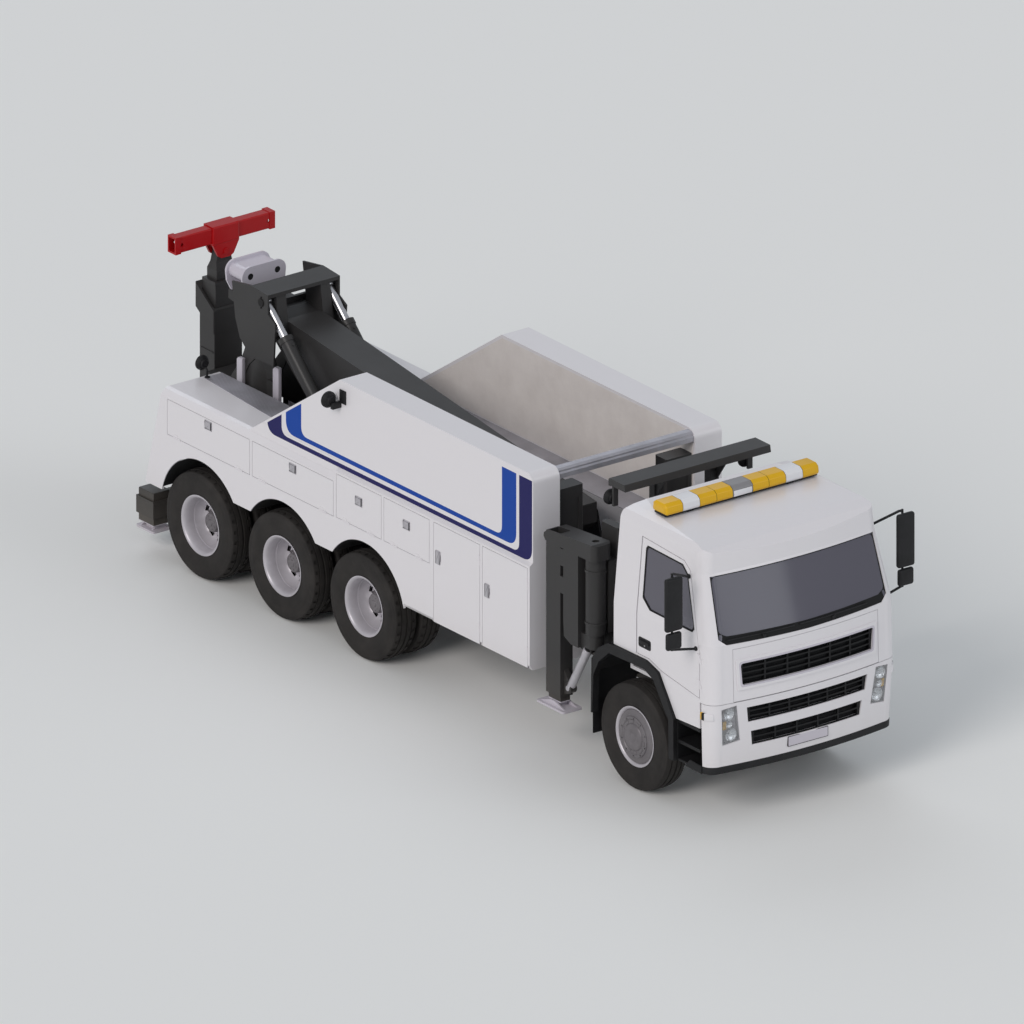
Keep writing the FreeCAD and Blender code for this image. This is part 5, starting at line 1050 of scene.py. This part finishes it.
# Place and radius of each reflector.
REFLECTORS = ((-985, 1250, 62), (-975, 1130, 34), (-950, 1012, 68))
outline = matched(rounded(COVER, 18, 4), rounded(COVER, 18, 4))[0]
for label, side in SIDES:
    bm = bmesh.new()
    patch(bm, COVER, BACK_INSET, SHELL)
    skinned(bm, [[on_nose(*p, inset) for p in outline] for inset in WALL_INSETS], SHELL, True)
    make(bm, f"headlamp_housing_{label}", "rim", "truck", flip=side > 0)
    bm = bmesh.new()
    bulbs = bmesh.new()
    for x, z, radius in REFLECTORS:
        face = on_nose(x, z, 12)
        depth = min(radius * 0.5, 27) * MM
        r = radius * MM
        spun(bm, [(-0.001, r + 0.004), (0, r), (depth * 0.35, r * 0.88), (depth * 0.75, r * 0.6),
                  (depth, r * 0.2), (depth, 0)], AFT, face, 28)
        spun(bulbs, [(depth, 0.007), (depth * 0.5, 0.007), (depth * 0.3, 0.0055),
                     (depth * 0.25, 0)], AFT, face, 14)
    make(bm, f"headlamp_reflectors_{label}", "bowl", "truck", flip=side > 0)
    make(bulbs, f"headlamp_bulbs_{label}", "white_lens", "truck", flip=side > 0)
    bm = bmesh.new()
    patch(bm, [(-1010, 1172), (-1052, 1168), (-1046, 1080), (-1008, 1084)], 10, 20, 3, 3)
    make(bm, f"headlamp_turn_lamp_{label}", "amber_lens", "truck", flip=side > 0)
    bm = bmesh.new()
    patch(bm, COVER, COVER_INSET, SHELL)
    make(bm, f"headlamp_cover_{label}", "clear_lens", "truck", flip=side > 0)
print("headlamps: 2")

# %% [markdown]
# ## Mirrors
# Each door carries a tall main mirror above a small wide-angle one, on two bent tubes. The heads
# are moulded shells, rounder in front than at the glass. The glass is set a few millimetres back
# in the rear face.

# %% Mirror heads
HEADS = (((-1620, -1178, 2230), (-1400, -1112, 2830)), ((-1608, -1176, 2022), (-1412, -1116, 2212)))
GLASSES = ((-1596, -1424, 2254, 2806, -1118.5), (-1584, -1436, 2046, 2188, -1122.5))


def mirror_head(bm, low, high):
    """Rounded box, sunk behind for the glass and swelling in front."""
    old = set(bm.faces)
    block(bm, at(*low), at(*high), 0.030, 5)
    for toward, insets in ((1, ((6, 0), (2, -5))), (-1, ((22, 6),))):
        face = [f for f in bm.faces
                if f not in old and f.normal.y * toward > 0.99 and f.calc_area() > 0.01]
        for width, depth in insets:
            bmesh.ops.inset_region(bm, faces=face, thickness=width * MM, depth=depth * MM)


print("mirror heads:", 2 * len(HEADS))

# %% Mirrors and their arms
POST, ARM_R = (-1500, -1105), 0.014
ARMS = (((*POST, 2848), (-1468, -1088, 2842), (-1230, -975, 2726), (-1176, -950, 2698)),
        ((*POST, 2006), (-1470, -1110, 2000), (-1270, -1146, 1972), (-1232, -1150, 1965)))
for label, side in SIDES:
    body = f"cab_door_{label}"
    bm = bmesh.new()
    for low, high in HEADS:
        mirror_head(bm, low, high)
    for z in (2090, 2320, 2680):
        block(bm, at(-1532, -1122, z), at(-1468, -1094, z + 60), 0.008, 2)
    tube(bm, [at(*POST, z) for z in (1992, 2400, 2862)], 0.013, 16)
    for arm in ARMS:
        tube(bm, [at(*p) for p in arm], ARM_R, 14)
    for y, z, face, reach in ((-950, 2698, 1159, 26), (-1150, 1965, 1219, 22)):
        spun(bm, [(0, 0), (0, 0.026), (reach * 0.5 * MM, 0.024), (reach * MM, 0.014),
                  ((reach + 6) * MM, 0)], OUTWARD, at(-face, y, z), 24)
    make(bm, f"mirrors_{label}", "plastic", body, [f"door_mirrors_{label}"], flip=side > 0)
    bm = bmesh.new()
    for left, right, low, high, y in GLASSES:
        plate(bm, rounded(oblong(left, right, low, high), 22), "Y", y, y + 2.5)
    make(bm, f"mirror_glass_{label}", "mirror", body, flip=side > 0)
print("mirrors and arms on both doors")

# %% [markdown]
# ## Beacon bar
# The bar is an extruded lens moulding cut into nine segments, amber, white and grey, with a black
# gasket between neighbours and a white lens in front of the middle. Its two ends are rounded. It
# stands on a black tray with two feet.

# %% Outline of the bar
ROOF_Z, BAR_FRONT, BAR_REAR = 3098, -343, -88
SEAMS = (-1000, -780, -560, -340, -130, 130, 340, 560, 780, 1000)
COLOURS = "amber white amber amber grey amber amber white amber".split()
JOINT = 3                         # from a seam to the end of a segment
TIP = SEAMS[-1] - JOINT


def bar_outline(gap):
    """Outline of the moulding, or of a smaller one inside it."""
    return rounded([(BAR_FRONT + 12 + gap, ROOF_Z + 34 + gap), (BAR_FRONT + gap, ROOF_Z + 62),
                    (BAR_FRONT + 8 + gap, ROOF_Z + 128 - gap), (BAR_FRONT + 52, ROOF_Z + 158 - gap),
                    (BAR_REAR - 52, ROOF_Z + 158 - gap), (BAR_REAR - 8 - gap, ROOF_Z + 128 - gap),
                    (BAR_REAR - gap, ROOF_Z + 62), (BAR_REAR - 12 - gap, ROOF_Z + 34 + gap)], 22, 4)


print("bar outline:", len(bar_outline(0)), "points")

# %% Beacon bar
bm = bmesh.new()
block(bm, at(-988, -312, ROOF_Z + 12), at(988, -118, ROOF_Z + 40), 0.006, 2)
for x in (-650, 650):
    plate(bm, [(-290, ROOF_Z + 16), (-302, ROOF_Z - 40), (-140, ROOF_Z - 16), (-140, ROOF_Z + 16)],
          "X", x - 45, x + 45, 3)
for x in SEAMS[1:-1]:
    plate(bm, bar_outline(1.5), "X", x - 4, x + 4)
make(bm, "beacon_tray", "plastic", "truck", ["light_bar"])
for number, (start, end, colour) in enumerate(zip(SEAMS, SEAMS[1:], COLOURS)):
    bm = bmesh.new()
    plate(bm, bar_outline(0), "X", start + JOINT, end - JOINT)
    rim = [e for e in bm.edges if abs(abs(sum(v.co.x for v in e.verts)) / 2 - TIP * MM) < 1e-4]
    if rim:
        bevelled(bm, rim, 0.026, 4)
    make(bm, f"beacon_lens_{number}", f"{colour}_lens", "truck")
bm = bmesh.new()
block(bm, at(-118, BAR_FRONT - 2, ROOF_Z + 44), at(118, BAR_FRONT + 24, ROOF_Z + 108), 0.006, 3)
make(bm, "beacon_front_lens", "white_lens", "truck")
print("beacon segments:", len(COLOURS))

# %% [markdown]
# ## Work lamps
# Six round work lamps look to the rear: two on the side walls, two on stalks on the deck, two on
# the lamp beam behind the cab. Each is a black bowl with five cooling ribs, a rim, a bright
# reflector and a clear lens, all spun on one axis. Brackets and stalks carry them.

# %% Work lamps
# Place of each pair in millimetres, radius and depth.
LAMPS = ((1330, 5100, 2791, 90, 80), (725, 8100, 2100, 82, 70), (875, 812, 2965, 85, 74))
LAMP_STEPS, RIBS = 36, 5
bowls, mirrors, lenses = bmesh.new(), bmesh.new(), bmesh.new()
for x, y, z, radius, depth in LAMPS:
    for _, side in SIDES:
        spot, r, d = at(side * x, y, z), radius * MM, depth * MM
        spun(bowls, [(-d, 0), (-d, r * 0.5), (-d + 0.004, r * 0.55), (-0.032, r - 0.012),
                     (-0.026, r - 0.002), (-0.022, r), (-0.003, r), (0, r - 0.003), (0, r - 0.009),
                     (-0.008, r - 0.01), (-0.008, 0)], AFT, spot, LAMP_STEPS)
        for rib in range(RIBS):
            a = -d + 0.012 + rib * (d - 0.05) / RIBS
            top = r * (0.55 + 0.4 * (a + d) / d) + 0.004
            spun(bowls, [(a, top - 0.008), (a, top), (a + 0.003, top), (a + 0.003, top - 0.008)],
                 AFT, spot, LAMP_STEPS)
        spun(mirrors, [(-0.007, r - 0.011), (-0.0072, r * 0.5), (-0.0076, 0.016), (-0.004, 0.012),
                       (-0.0035, 0)], AFT, spot, LAMP_STEPS)
        spun(lenses, [(-0.0035, r - 0.0095), (-0.001, r - 0.012), (0.004, r * 0.6), (0.006, 0)],
             AFT, spot, LAMP_STEPS)
print("lamp bowls:", 2 * len(LAMPS))

# %% Brackets and stalks
STALK_X = 725
wall = WALL_FACE + 0.3
for _, side in SIDES:
    block(bowls, at(side * wall, 4908, 2759), at(side * (wall + 12), 5016, 2909), 0.003, 2)
    block(bowls, at(side * wall, 4990, 2704), at(side * 1345, 5034, 2776), 0.006, 3)
    for z in (2776, 2892):
        button(bowls, 0.009, 0.006, (side, 0, 0), at(side * (wall + 12), 4962, z), 6)
    tube(bowls, [at(side * STALK_X, y, z)
                 for y, z in ((8000, 1966), (8000, 2040), (8014, 2056), (8060, 2060))], 0.012, 14)
    spun(bowls, [(0, 0), (0, 0.03), (0.006, 0.03), (0.012, 0.016), (0.012, 0)], (0, 0, 1),
         at(side * STALK_X, 7992, 1965.4), 24)
    block(bowls, at(side * 855, 729, 2924), at(side * 895, 752, 3006), 0.004, 2)
make(bowls, "work_lamp_bowls", "plastic", "truck", ["lamps"])
make(mirrors, "work_lamp_reflectors", "bowl", "truck")
make(lenses, "work_lamp_lenses", "clear_lens", "truck")
print("work lamps:", 2 * len(LAMPS))

# %% [markdown]
# ## Lockers
# A rubber seal runs round each locker opening, a few millimetres behind the panels. The low flaps
# have square latches sunk into the skin: a plate, a dish, a dark paddle to pull and a lock. The
# two tall doors have upright ones. Latches ride on the doors, seals stay on the body.

# %% Latch
PANEL_X = 1273
# Front, rear, low and high edge of each opening, then the place of its latch.
LOCKERS = (("front", 1700, 2492, 842, 1966, 2405, 1490),
           ("tool", 2532, 3338, 842, 1966, 3256, 1590),
           ("chain", 3408, 4202, 1473, 1966, 3805, 1777),
           ("rope", 4241, 5028, 1473, 1966, 4634, 1777),
           ("middle", 5074, 6487, 1467, 1866, 5780, 1782),
           ("rear", 6526, 7961, 1467, 1866, 7246, 1793))


def latch(bm, y, z, half_y, half_z, rim, thick, deep):
    """Latch plate with a dish: rim wide round the edge, deep below the plate's face."""
    outline = rounded(oblong(y - half_y, y + half_y, z - half_z, z + half_z), 9, 4)
    plate(bm, outline, "X", -PANEL_X - 0.2, -PANEL_X - thick)
    bm.normal_update()
    face = [f for f in bm.faces if abs(f.calc_center_median().x + (PANEL_X + thick) * MM) < 1e-5]
    bmesh.ops.inset_region(bm, faces=face, thickness=rim * MM, depth=0)
    bmesh.ops.inset_region(bm, faces=face, thickness=2 * MM, depth=-deep * MM)


def paddle(bm, y, z, half, low, high, turn, back, front):
    """Handle of a latch: a small plate, low and high as seen from the latch's middle."""
    plate(bm, rounded(oblong(y - half, y + half, z + low, z + high), turn, 4), "X",
          -PANEL_X - back, -PANEL_X - front, 1.5)


print("lockers on a side:", len(LOCKERS))

# %% Locker seals and latches
SEAL_LINES, SEAL_BACK, SEAL_DEPTH = (0.3, 4.3), 6, 8
LOCK_R = 0.007
TALL_FOOT = 1000                  # a door whose foot is below this is a tall one
# Numbers for latch and paddle, then how far out, how far down and how high the lock is.
UPRIGHT = (41, 76, 11, 7, 5), (20, -44, 56, 8, 2, 10), (1.8, 57, 0.003)
SQUARE = (62, 52, 16, 3, 8), (39, -12, 29, 6, -6, 1.2), (-5.2, 23, 0.004)
for label, side in SIDES:
    seals = bmesh.new()
    for name, front, rear, low, high, latch_y, latch_z in LOCKERS:
        rings = [[at(-PANEL_X + SEAL_BACK, *p) for p in oblong(front, rear, low, high, inset)]
                 for inset in SEAL_LINES]
        strip(seals, *rings, SEAL_DEPTH, INWARD)
        body = f"{name}_locker_door_{label}"
        dish, handle, (out, down, height) = UPRIGHT if low < TALL_FOOT else SQUARE
        bm = bmesh.new()
        latch(bm, latch_y, latch_z, *dish)
        make(bm, f"{name}_latch_plate_{label}", "galvanised", body, flip=side > 0)
        bm = bmesh.new()
        paddle(bm, latch_y, latch_z, *handle)
        button(bm, LOCK_R, height, OUTWARD, at(-PANEL_X - out, latch_y, latch_z - down), 16)
        make(bm, f"{name}_latch_paddle_{label}", "plastic", body, flip=side > 0)
    make(seals, f"locker_seals_{label}", "grey_seal", "truck", flip=side > 0)
print("latches:", 2 * len(LOCKERS))

# %% [markdown]
# ## Linings, guide bars and tower webs
# The inner faces of the side walls are lined with grey enamelled sheet, riveted round its edge.
# Four pale guide bars stand in the well beside the towers, and a web closes the window of each
# tower.

# %% Linings and bars
LINING = [(1700, 1972), (1700, 2890), (1716, 2948), (1780, 2975), (5010, 2975), (6480, 1980)]
WALL_IN = 879
RIVET_GAP = 220
for label, side in SIDES:
    bm = bmesh.new()
    plate(bm, LINING, "X", -WALL_IN + 0.3, -WALL_IN + 2.3)
    rivets = [(y, 2945) for y in range(1900, 4990, RIVET_GAP)]
    rivets += [(y, 2003) for y in range(2000, 6300, RIVET_GAP)]
    rivets += [(5060 + step * 162, 2912 - step * 110) for step in range(1, 8)]
    for y, z in rivets:
        spun(bm, [(0.002, 0.008), (0.0045, 0.0055), (0.0052, 0)], INWARD, at(-WALL_IN, y, z), 8)
    make(bm, f"wall_lining_{label}", "lacquer", "truck", flip=side > 0)
    bm = bmesh.new()
    for y0, y1, top, drop in ((7300, 7395, 2184, 34), (7930, 8020, 2093, 26)):
        plate(bm, [(y0 - 1.5, 1260), (y1 + 1.5, 1260), (y1 + 1.5, top - drop), (y1 - drop, top),
                   (y0 - 1.5, top)], "X", -321.5, -280.3, 1.2)
    make(bm, f"guide_bars_{label}", "pale", "truck", flip=side > 0)
    bm = bmesh.new()
    plate(bm, [(7562, 1500), (7562, 2048), (7700, 2198), (7858, 2048), (8058, 1702), (8058, 1500)],
          "X", -272, -258, 1)
    make(bm, f"tower_web_{label}", "charcoal", "truck", flip=side > 0)
print("linings, bars and webs on both sides")

# %% [markdown]
# ## Tail lamps
# The rear ends of the body lean forwards. Each carries a lamp box with an amber turn lens, a red
# stop lens and a white reversing lens, a round red reflector, and a small marker lamp at the top
# corner. They are drawn upright, and one matrix leans them onto the end plate. Two short stubs
# below each box take in its wires.

# %% Tail lamps
END_TOP, END_FOOT = at(0, 8050, 1960), at(0, 8333, 845)
fall = END_FOOT - END_TOP
lean = Matrix.Translation(END_TOP) @ Matrix.Rotation(math.atan2(fall.y, -fall.z), 4, "X")
LENSES = (("amber_lens", -1208, -1098), ("red_lens", -1092, -952), ("white_lens", -946, -872))
for label, side in SIDES:
    boxes = bmesh.new()
    block(boxes, (-1.222, 0.0004, -0.735), (-0.858, 0.030, -0.609), 0.008, 3)
    block(boxes, (-1.075, 0.0004, -0.585), (-1.005, 0.010, -0.515), 0.004, 2)
    block(boxes, (-1.215, 0.0004, -0.215), (-1.155, 0.012, -0.115), 0.005, 2)
    for x in (-1.19, -0.89):
        tube(boxes, [(x, 0.001, -0.74), (x, 0.012, -0.748), (x, 0.014, -0.77)], 0.006, 8)
    bmesh.ops.transform(boxes, matrix=lean, verts=boxes.verts)
    make(boxes, f"tail_lamp_box_{label}", "plastic", "truck", flip=side > 0)
    for finish, left, right in LENSES:
        bm = bmesh.new()
        block(bm, (left * MM, 0.0302, -0.726), (right * MM, 0.044, -0.618), 0.007, 3)
        if finish == "red_lens":
            spun(bm, [(0.0102, 0), (0.0102, 0.029), (0.013, 0.029), (0.0148, 0.02), (0.0152, 0)],
                 AFT, (-1.04, 0, -0.55), 32)
            block(bm, (-1.209, 0.0122, -0.209), (-1.161, 0.021, -0.121), 0.006, 3)
        bmesh.ops.transform(bm, matrix=lean, verts=bm.verts)
        make(bm, f"tail_{finish}_{label}", finish, "truck", flip=side > 0)
print("tail lamps on both sides")

# %% [markdown]
# ## Outriggers
# A bright stay leans against each folded outrigger. It is one turned shape with a thick collar
# near its upper end, and a cross pin holds its foot. It rides on the arm.

# %% Outrigger stays
STAY_LOW, STAY_HIGH = at(-1160, 1098, 808), at(-1160, 796, 1322)
run = STAY_HIGH - STAY_LOW
length = run.length
for label, side in SIDES:
    bm = bmesh.new()
    spun(bm, [(0, 0), (0, 0.040), (0.004, 0.046), (length - 0.06, 0.046), (length - 0.055, 0.052),
              (length - 0.012, 0.052), (length - 0.008, 0.046), (length, 0.046), (length, 0)],
         run, STAY_LOW, 32)
    spun(bm, [(-0.045, 0), (-0.045, 0.026), (-0.041, 0.030), (0.045, 0.030), (0.045, 0)], INWARD,
         at(-1160, 1108, 790), 24)
    make(bm, f"outrigger_stay_{label}", "galvanised", f"outrigger_arm_{label}", flip=side > 0)
print("outrigger stays:", round(length, 3), "m long")

# %% [markdown]
# ## Seats
# The two seats are padded, so the plain CAD solids give way to real upholstery. Each pad starts
# as a slab with bolsters along its sides. Blender's cloth then fills it: pressure swells a fine
# copy of the mesh, the side that lies on the frame is held, and no point may move further than a
# set limit. The sewn channels come last, because they would be lost in the finer mesh. The base
# is plastic, and so are its bellows.

# %% Shape of a pad
def pad_place(co, low, high, facing):
    """Where a point lies in its pad: across, along and towards the face, each from -1 to 1."""
    across, *rest = [(co[n] - (a + b) / 2) / ((b - a) / 2)
                     for n, (a, b) in enumerate(zip(low, high))]
    depth, along_pad = rest if facing.y else rest[::-1]
    return abs(across), along_pad, max(0.0, depth * (facing.y or facing.z))


def fading(place, power):
    """1 in the middle of a pad, falling to 0 at its edge."""
    return 1 - min(abs(place), 1) ** power


def bolstered(bm, low, high, swell, bolster, facing):
    """Slab whose face towards `facing` is domed and whose two long sides rise."""
    block(bm, low, high, 0.028, 3)
    bmesh.ops.subdivide_edges(bm, edges=[e for e in bm.edges if e.calc_length() > 0.09], cuts=5,
                              use_grid_fill=True)
    for vert in bm.verts:
        across, lengthwise, outward = pad_place(vert.co, low, high, facing)
        dome = fading(across, 4) * fading(lengthwise, 4)
        edge = math.exp(-((across - 0.8) / 0.13) ** 2) * fading(lengthwise, 6)
        vert.co += facing * outward * (swell * dome + bolster * edge)


print("a pad swells most in its middle:", fading(0, 4))

# %% Filling
PAD_GRAIN = 6 * MM                # edge of a voxel in the fine copy
PAD_PRESSURE = 4
PAD_STEPS = 20
HELD_BELOW = -0.6                 # faces turned this far away from the front are held


def settled(piece):
    """Put a piece's modifiers into its mesh."""
    shape = piece.evaluated_get(bpy.context.evaluated_depsgraph_get())
    mesh = bpy.data.meshes.new_from_object(shape)
    piece.modifiers.clear()
    piece.data = mesh


def filled(pad, facing, most):
    """Swell a pad with cloth pressure; its back is held and no point moves further than `most`."""
    finer = pad.modifiers.new("finer", "REMESH")
    finer.mode, finer.voxel_size = "VOXEL", PAD_GRAIN
    settled(pad)
    start = [v.co.copy() for v in pad.data.vertices]
    held = pad.vertex_groups.new(name="held")
    behind = [v.index for v in pad.data.vertices if v.normal.dot(facing) < HELD_BELOW]
    held.add(behind, 1.0, "REPLACE")
    cloth = pad.modifiers.new("filling", "CLOTH")
    cloth.settings.use_pressure = True
    cloth.settings.uniform_pressure_force = PAD_PRESSURE
    cloth.settings.effector_weights.gravity = 0
    cloth.settings.vertex_group_mass = held.name
    for step in range(1, PAD_STEPS + 1):
        scene.frame_set(step)
    settled(pad)
    scene.frame_set(1)
    moves = [(v.co - s).length for v, s in zip(pad.data.vertices, start)]
    print("filled", pad.name, "points", len(moves), "furthest", round(max(moves) / MM, 1), "mm")
    for vert, old, move in zip(pad.data.vertices, start, moves):
        vert.co = old + (vert.co - old) * min(1.0, most / max(move, 1e-9))


print("cloth frames for each pad:", PAD_STEPS)

# %% Sewing
SEAM, SEAM_GAP = 0.58, 0.5        # places of the channels, as shares of half a pad


def sewn(pad, low, high, depth, facing):
    """Press two long channels and the cross channels between them into the face of a pad."""
    for vert in pad.data.vertices:
        across, lengthwise, outward = pad_place(vert.co, low, high, facing)
        dome = fading(across, 4) * fading(lengthwise, 4)
        groove = math.exp(-((across - SEAM) / 0.05) ** 2)
        if across < SEAM:
            groove += 0.8 * math.exp(-(math.remainder(lengthwise, SEAM_GAP) / 0.045) ** 2)
        vert.co -= facing * outward * depth * dome * min(groove, 1.0)


print("channels", round(SEAM, 2), "from the middle of a pad")

# %% [markdown]
# A pad is drawn and filled on the right and mirrored afterwards, so that both seats are alike.

# %% Seats
UP, FORWARD = Vector((0, 0, 1)), Vector(FORE)
SEAT_X = 640
PAD_MOST = 10 * MM
# Name, two corners, height of the dome, of the bolsters and depth of the channels, and front.
PADS = (("seat_cushion", (-238, -665, 1642), (238, -143, 1750), 0.012, 0.014, 0.009, UP),
        ("seat_back", (-221, -174, 1797), (221, -90, 2397), 0.013, 0.016, 0.009, FORWARD),
        ("head_rest", (-120, -136, 2418), (120, -54, 2556), 0.004, 0.0, 0.003, FORWARD))
for label, side in SIDES:
    frames = bmesh.new()
    block(frames, at(-SEAT_X - 180, -560, 1281), at(-SEAT_X + 180, -180, 1330), 0.01, 2)
    for step in range(5):
        block(frames, at(-SEAT_X - 165 + 6 * (step % 2), -545, 1330 + 44 * step),
              at(-SEAT_X + 165 - 6 * (step % 2), -195, 1374 + 44 * step), 0.014, 2)
    block(frames, at(-SEAT_X - 190, -600, 1552), at(-SEAT_X + 190, -160, 1640), 0.02, 3)
    block(frames, at(-SEAT_X - 205, -96, 1720), at(-SEAT_X + 205, -46, 2380), 0.022, 3)
    for x in (-60, 60):
        tube(frames, [at(-SEAT_X + x, -92, 2380), at(-SEAT_X + x, -92, 2420)], 0.007, 12)
    make(frames, f"seat_frame_{label}", "trim", "truck", flip=side > 0)
    for name, low, high, swell, bolster, channel, facing in PADS:
        bm = bmesh.new()
        low, high = at(low[0] - SEAT_X, *low[1:]), at(high[0] - SEAT_X, *high[1:])
        bolstered(bm, low, high, swell, bolster, facing)
        pad = make(bm, f"{name}_{label}", "cloth", "truck", ["cab_seats"])
        filled(pad, facing, PAD_MOST)
        sewn(pad, low, high, channel, facing)
        if side > 0:
            pad.data.transform(Matrix.Scale(-1, 4, (1, 0, 0)))
            pad.data.flip_normals()
        for face in pad.data.polygons:
            face.use_smooth = True
        round_off = pad.modifiers.new("round", "SUBSURF")
        round_off.levels = round_off.render_levels = 1
print("padded seats: 2")

# %% [markdown]
# ## Body foot, arches and pins
# The foot of each side wall steps in above the rear lockers, so a welded filler closes the step.
# The wheel arches are lined with bent black sheet that follows the wheels from front to rear, and
# a flat black wall closes each arch on the inside, above the frame; the black of both is painted
# shade, standing in for the shade under the white arches. Pins end in round heads with a bolt
# above and below, caps close the rear leg tubes, and a ring surrounds each end of the roller axles.

# %% Wall foot
FOOT_LIFT = 30                    # the filler reaches this far above the slope of the wall
FOOT_START, FOOT_END = 5046, 6570


def wall_foot(bm):
    """Filler between the foot of the right side wall and the lockers."""
    plate(bm, [(-WALL_FACE, 1946.5), (-WALL_FACE, 2101), (-1179.5, 2101), (-1179.5, 1960.5)],
          "Y", FOOT_START, FOOT_END)
    cut_by_slope(bm, FOOT_LIFT)


print("wall foot:", FOOT_END - FOOT_START, "mm long")

# %% Wheel arches
ARCH_R, ARCH_SHIFT, ARCH_Z, ARCH_STEPS = 694, -80, 650, 28
# Heights at which each arch begins in front and ends behind.
ARCH_ENDS = ((832, 1070), (1070, 1070), (1070, 860))
ARCH_WALL_FOOT = 1068


def arch_shade_liners(bm):
    """Bent sheet over the three rear wheels of the right side, with the wall inside each arch; both
    black as painted shade.
    """
    for axle, ends in zip(AXLE_Y[1:], ARCH_ENDS):
        first, last = [math.asin((z - ARCH_Z) / ARCH_R) for z in ends]
        sweep = math.pi - first - last
        middle = axle * 1000 + ARCH_SHIFT
        turns = [first + sweep * n / ARCH_STEPS for n in range(ARCH_STEPS + 1)]
        arc = [(middle - ARCH_R * math.cos(a), ARCH_Z + ARCH_R * math.sin(a)) for a in turns]
        skinned(bm, [[at(x, *p) for p in arc] for x in (-1270, -1240, -900, -610)], 3)
        plate(bm, [p for p in arc if p[1] > ARCH_WALL_FOOT], "X", -604, -598)


# The black sheets in the arches are painted shade, dark where the white arches are shaded.
for label, side in SIDES:
    for name, finish, draw in (("wall_foot", "white", wall_foot),
                               ("arch_shade_liners", "plastic", arch_shade_liners)):
        bm = bmesh.new()
        draw(bm)
        make(bm, f"{name}_{label}", finish, "truck", flip=side > 0)
print("arches:", 2 * len(ARCH_ENDS))

# %% Pins and caps
def pin_head(bm, centre, radius):
    """Pin end with a chamfer, and a bolt above and below it, all on the right side."""
    spun(bm, [(0, 0), (0, radius), (0.008, radius), (0.012, radius - 0.005), (0.012, 0)],
         OUTWARD, centre, 32)
    for z in (radius + 0.012, -radius - 0.012):
        spun(bm, [(0, 0), (0, 0.010), (0.007, 0.010), (0.009, 0.006), (0.009, 0)],
             OUTWARD, centre + Vector((0, 0, z)), 6)


for label, side in SIDES:
    for name, body, centre, radius in (("cylinder", "boom", (-470.3, 7400, 2930), 0.046),
                                       ("underlift", "truck", (-215.3, 8725, 640), 0.05)):
        bm = bmesh.new()
        pin_head(bm, at(*centre), radius)
        make(bm, f"{name}_pin_{label}", "cast", body, flip=side > 0)
    bm = bmesh.new()
    plate(bm, rounded(oblong(-1178, -972, 8322, 8575), 8, 3), "Z", 655.3, 660, 1)
    make(bm, f"rear_leg_cap_{label}", "charcoal", f"rear_leg_{label}", flip=side > 0)
    bm = bmesh.new()
    for y, toward in ((7976.5, -1), (8273.5, 1)):
        spun(bm, [(-0.004, 0.0), (-0.004, 0.0345), (0, 0.0345), (0, 0.02), (-0.002, 0.018),
                  (-0.002, 0)], (0, toward, 0), at(-175, y, 2965), 28)
    make(bm, f"roller_axles_{label}", "plastic", "boom", flip=side > 0)
print("pins and caps on both sides")
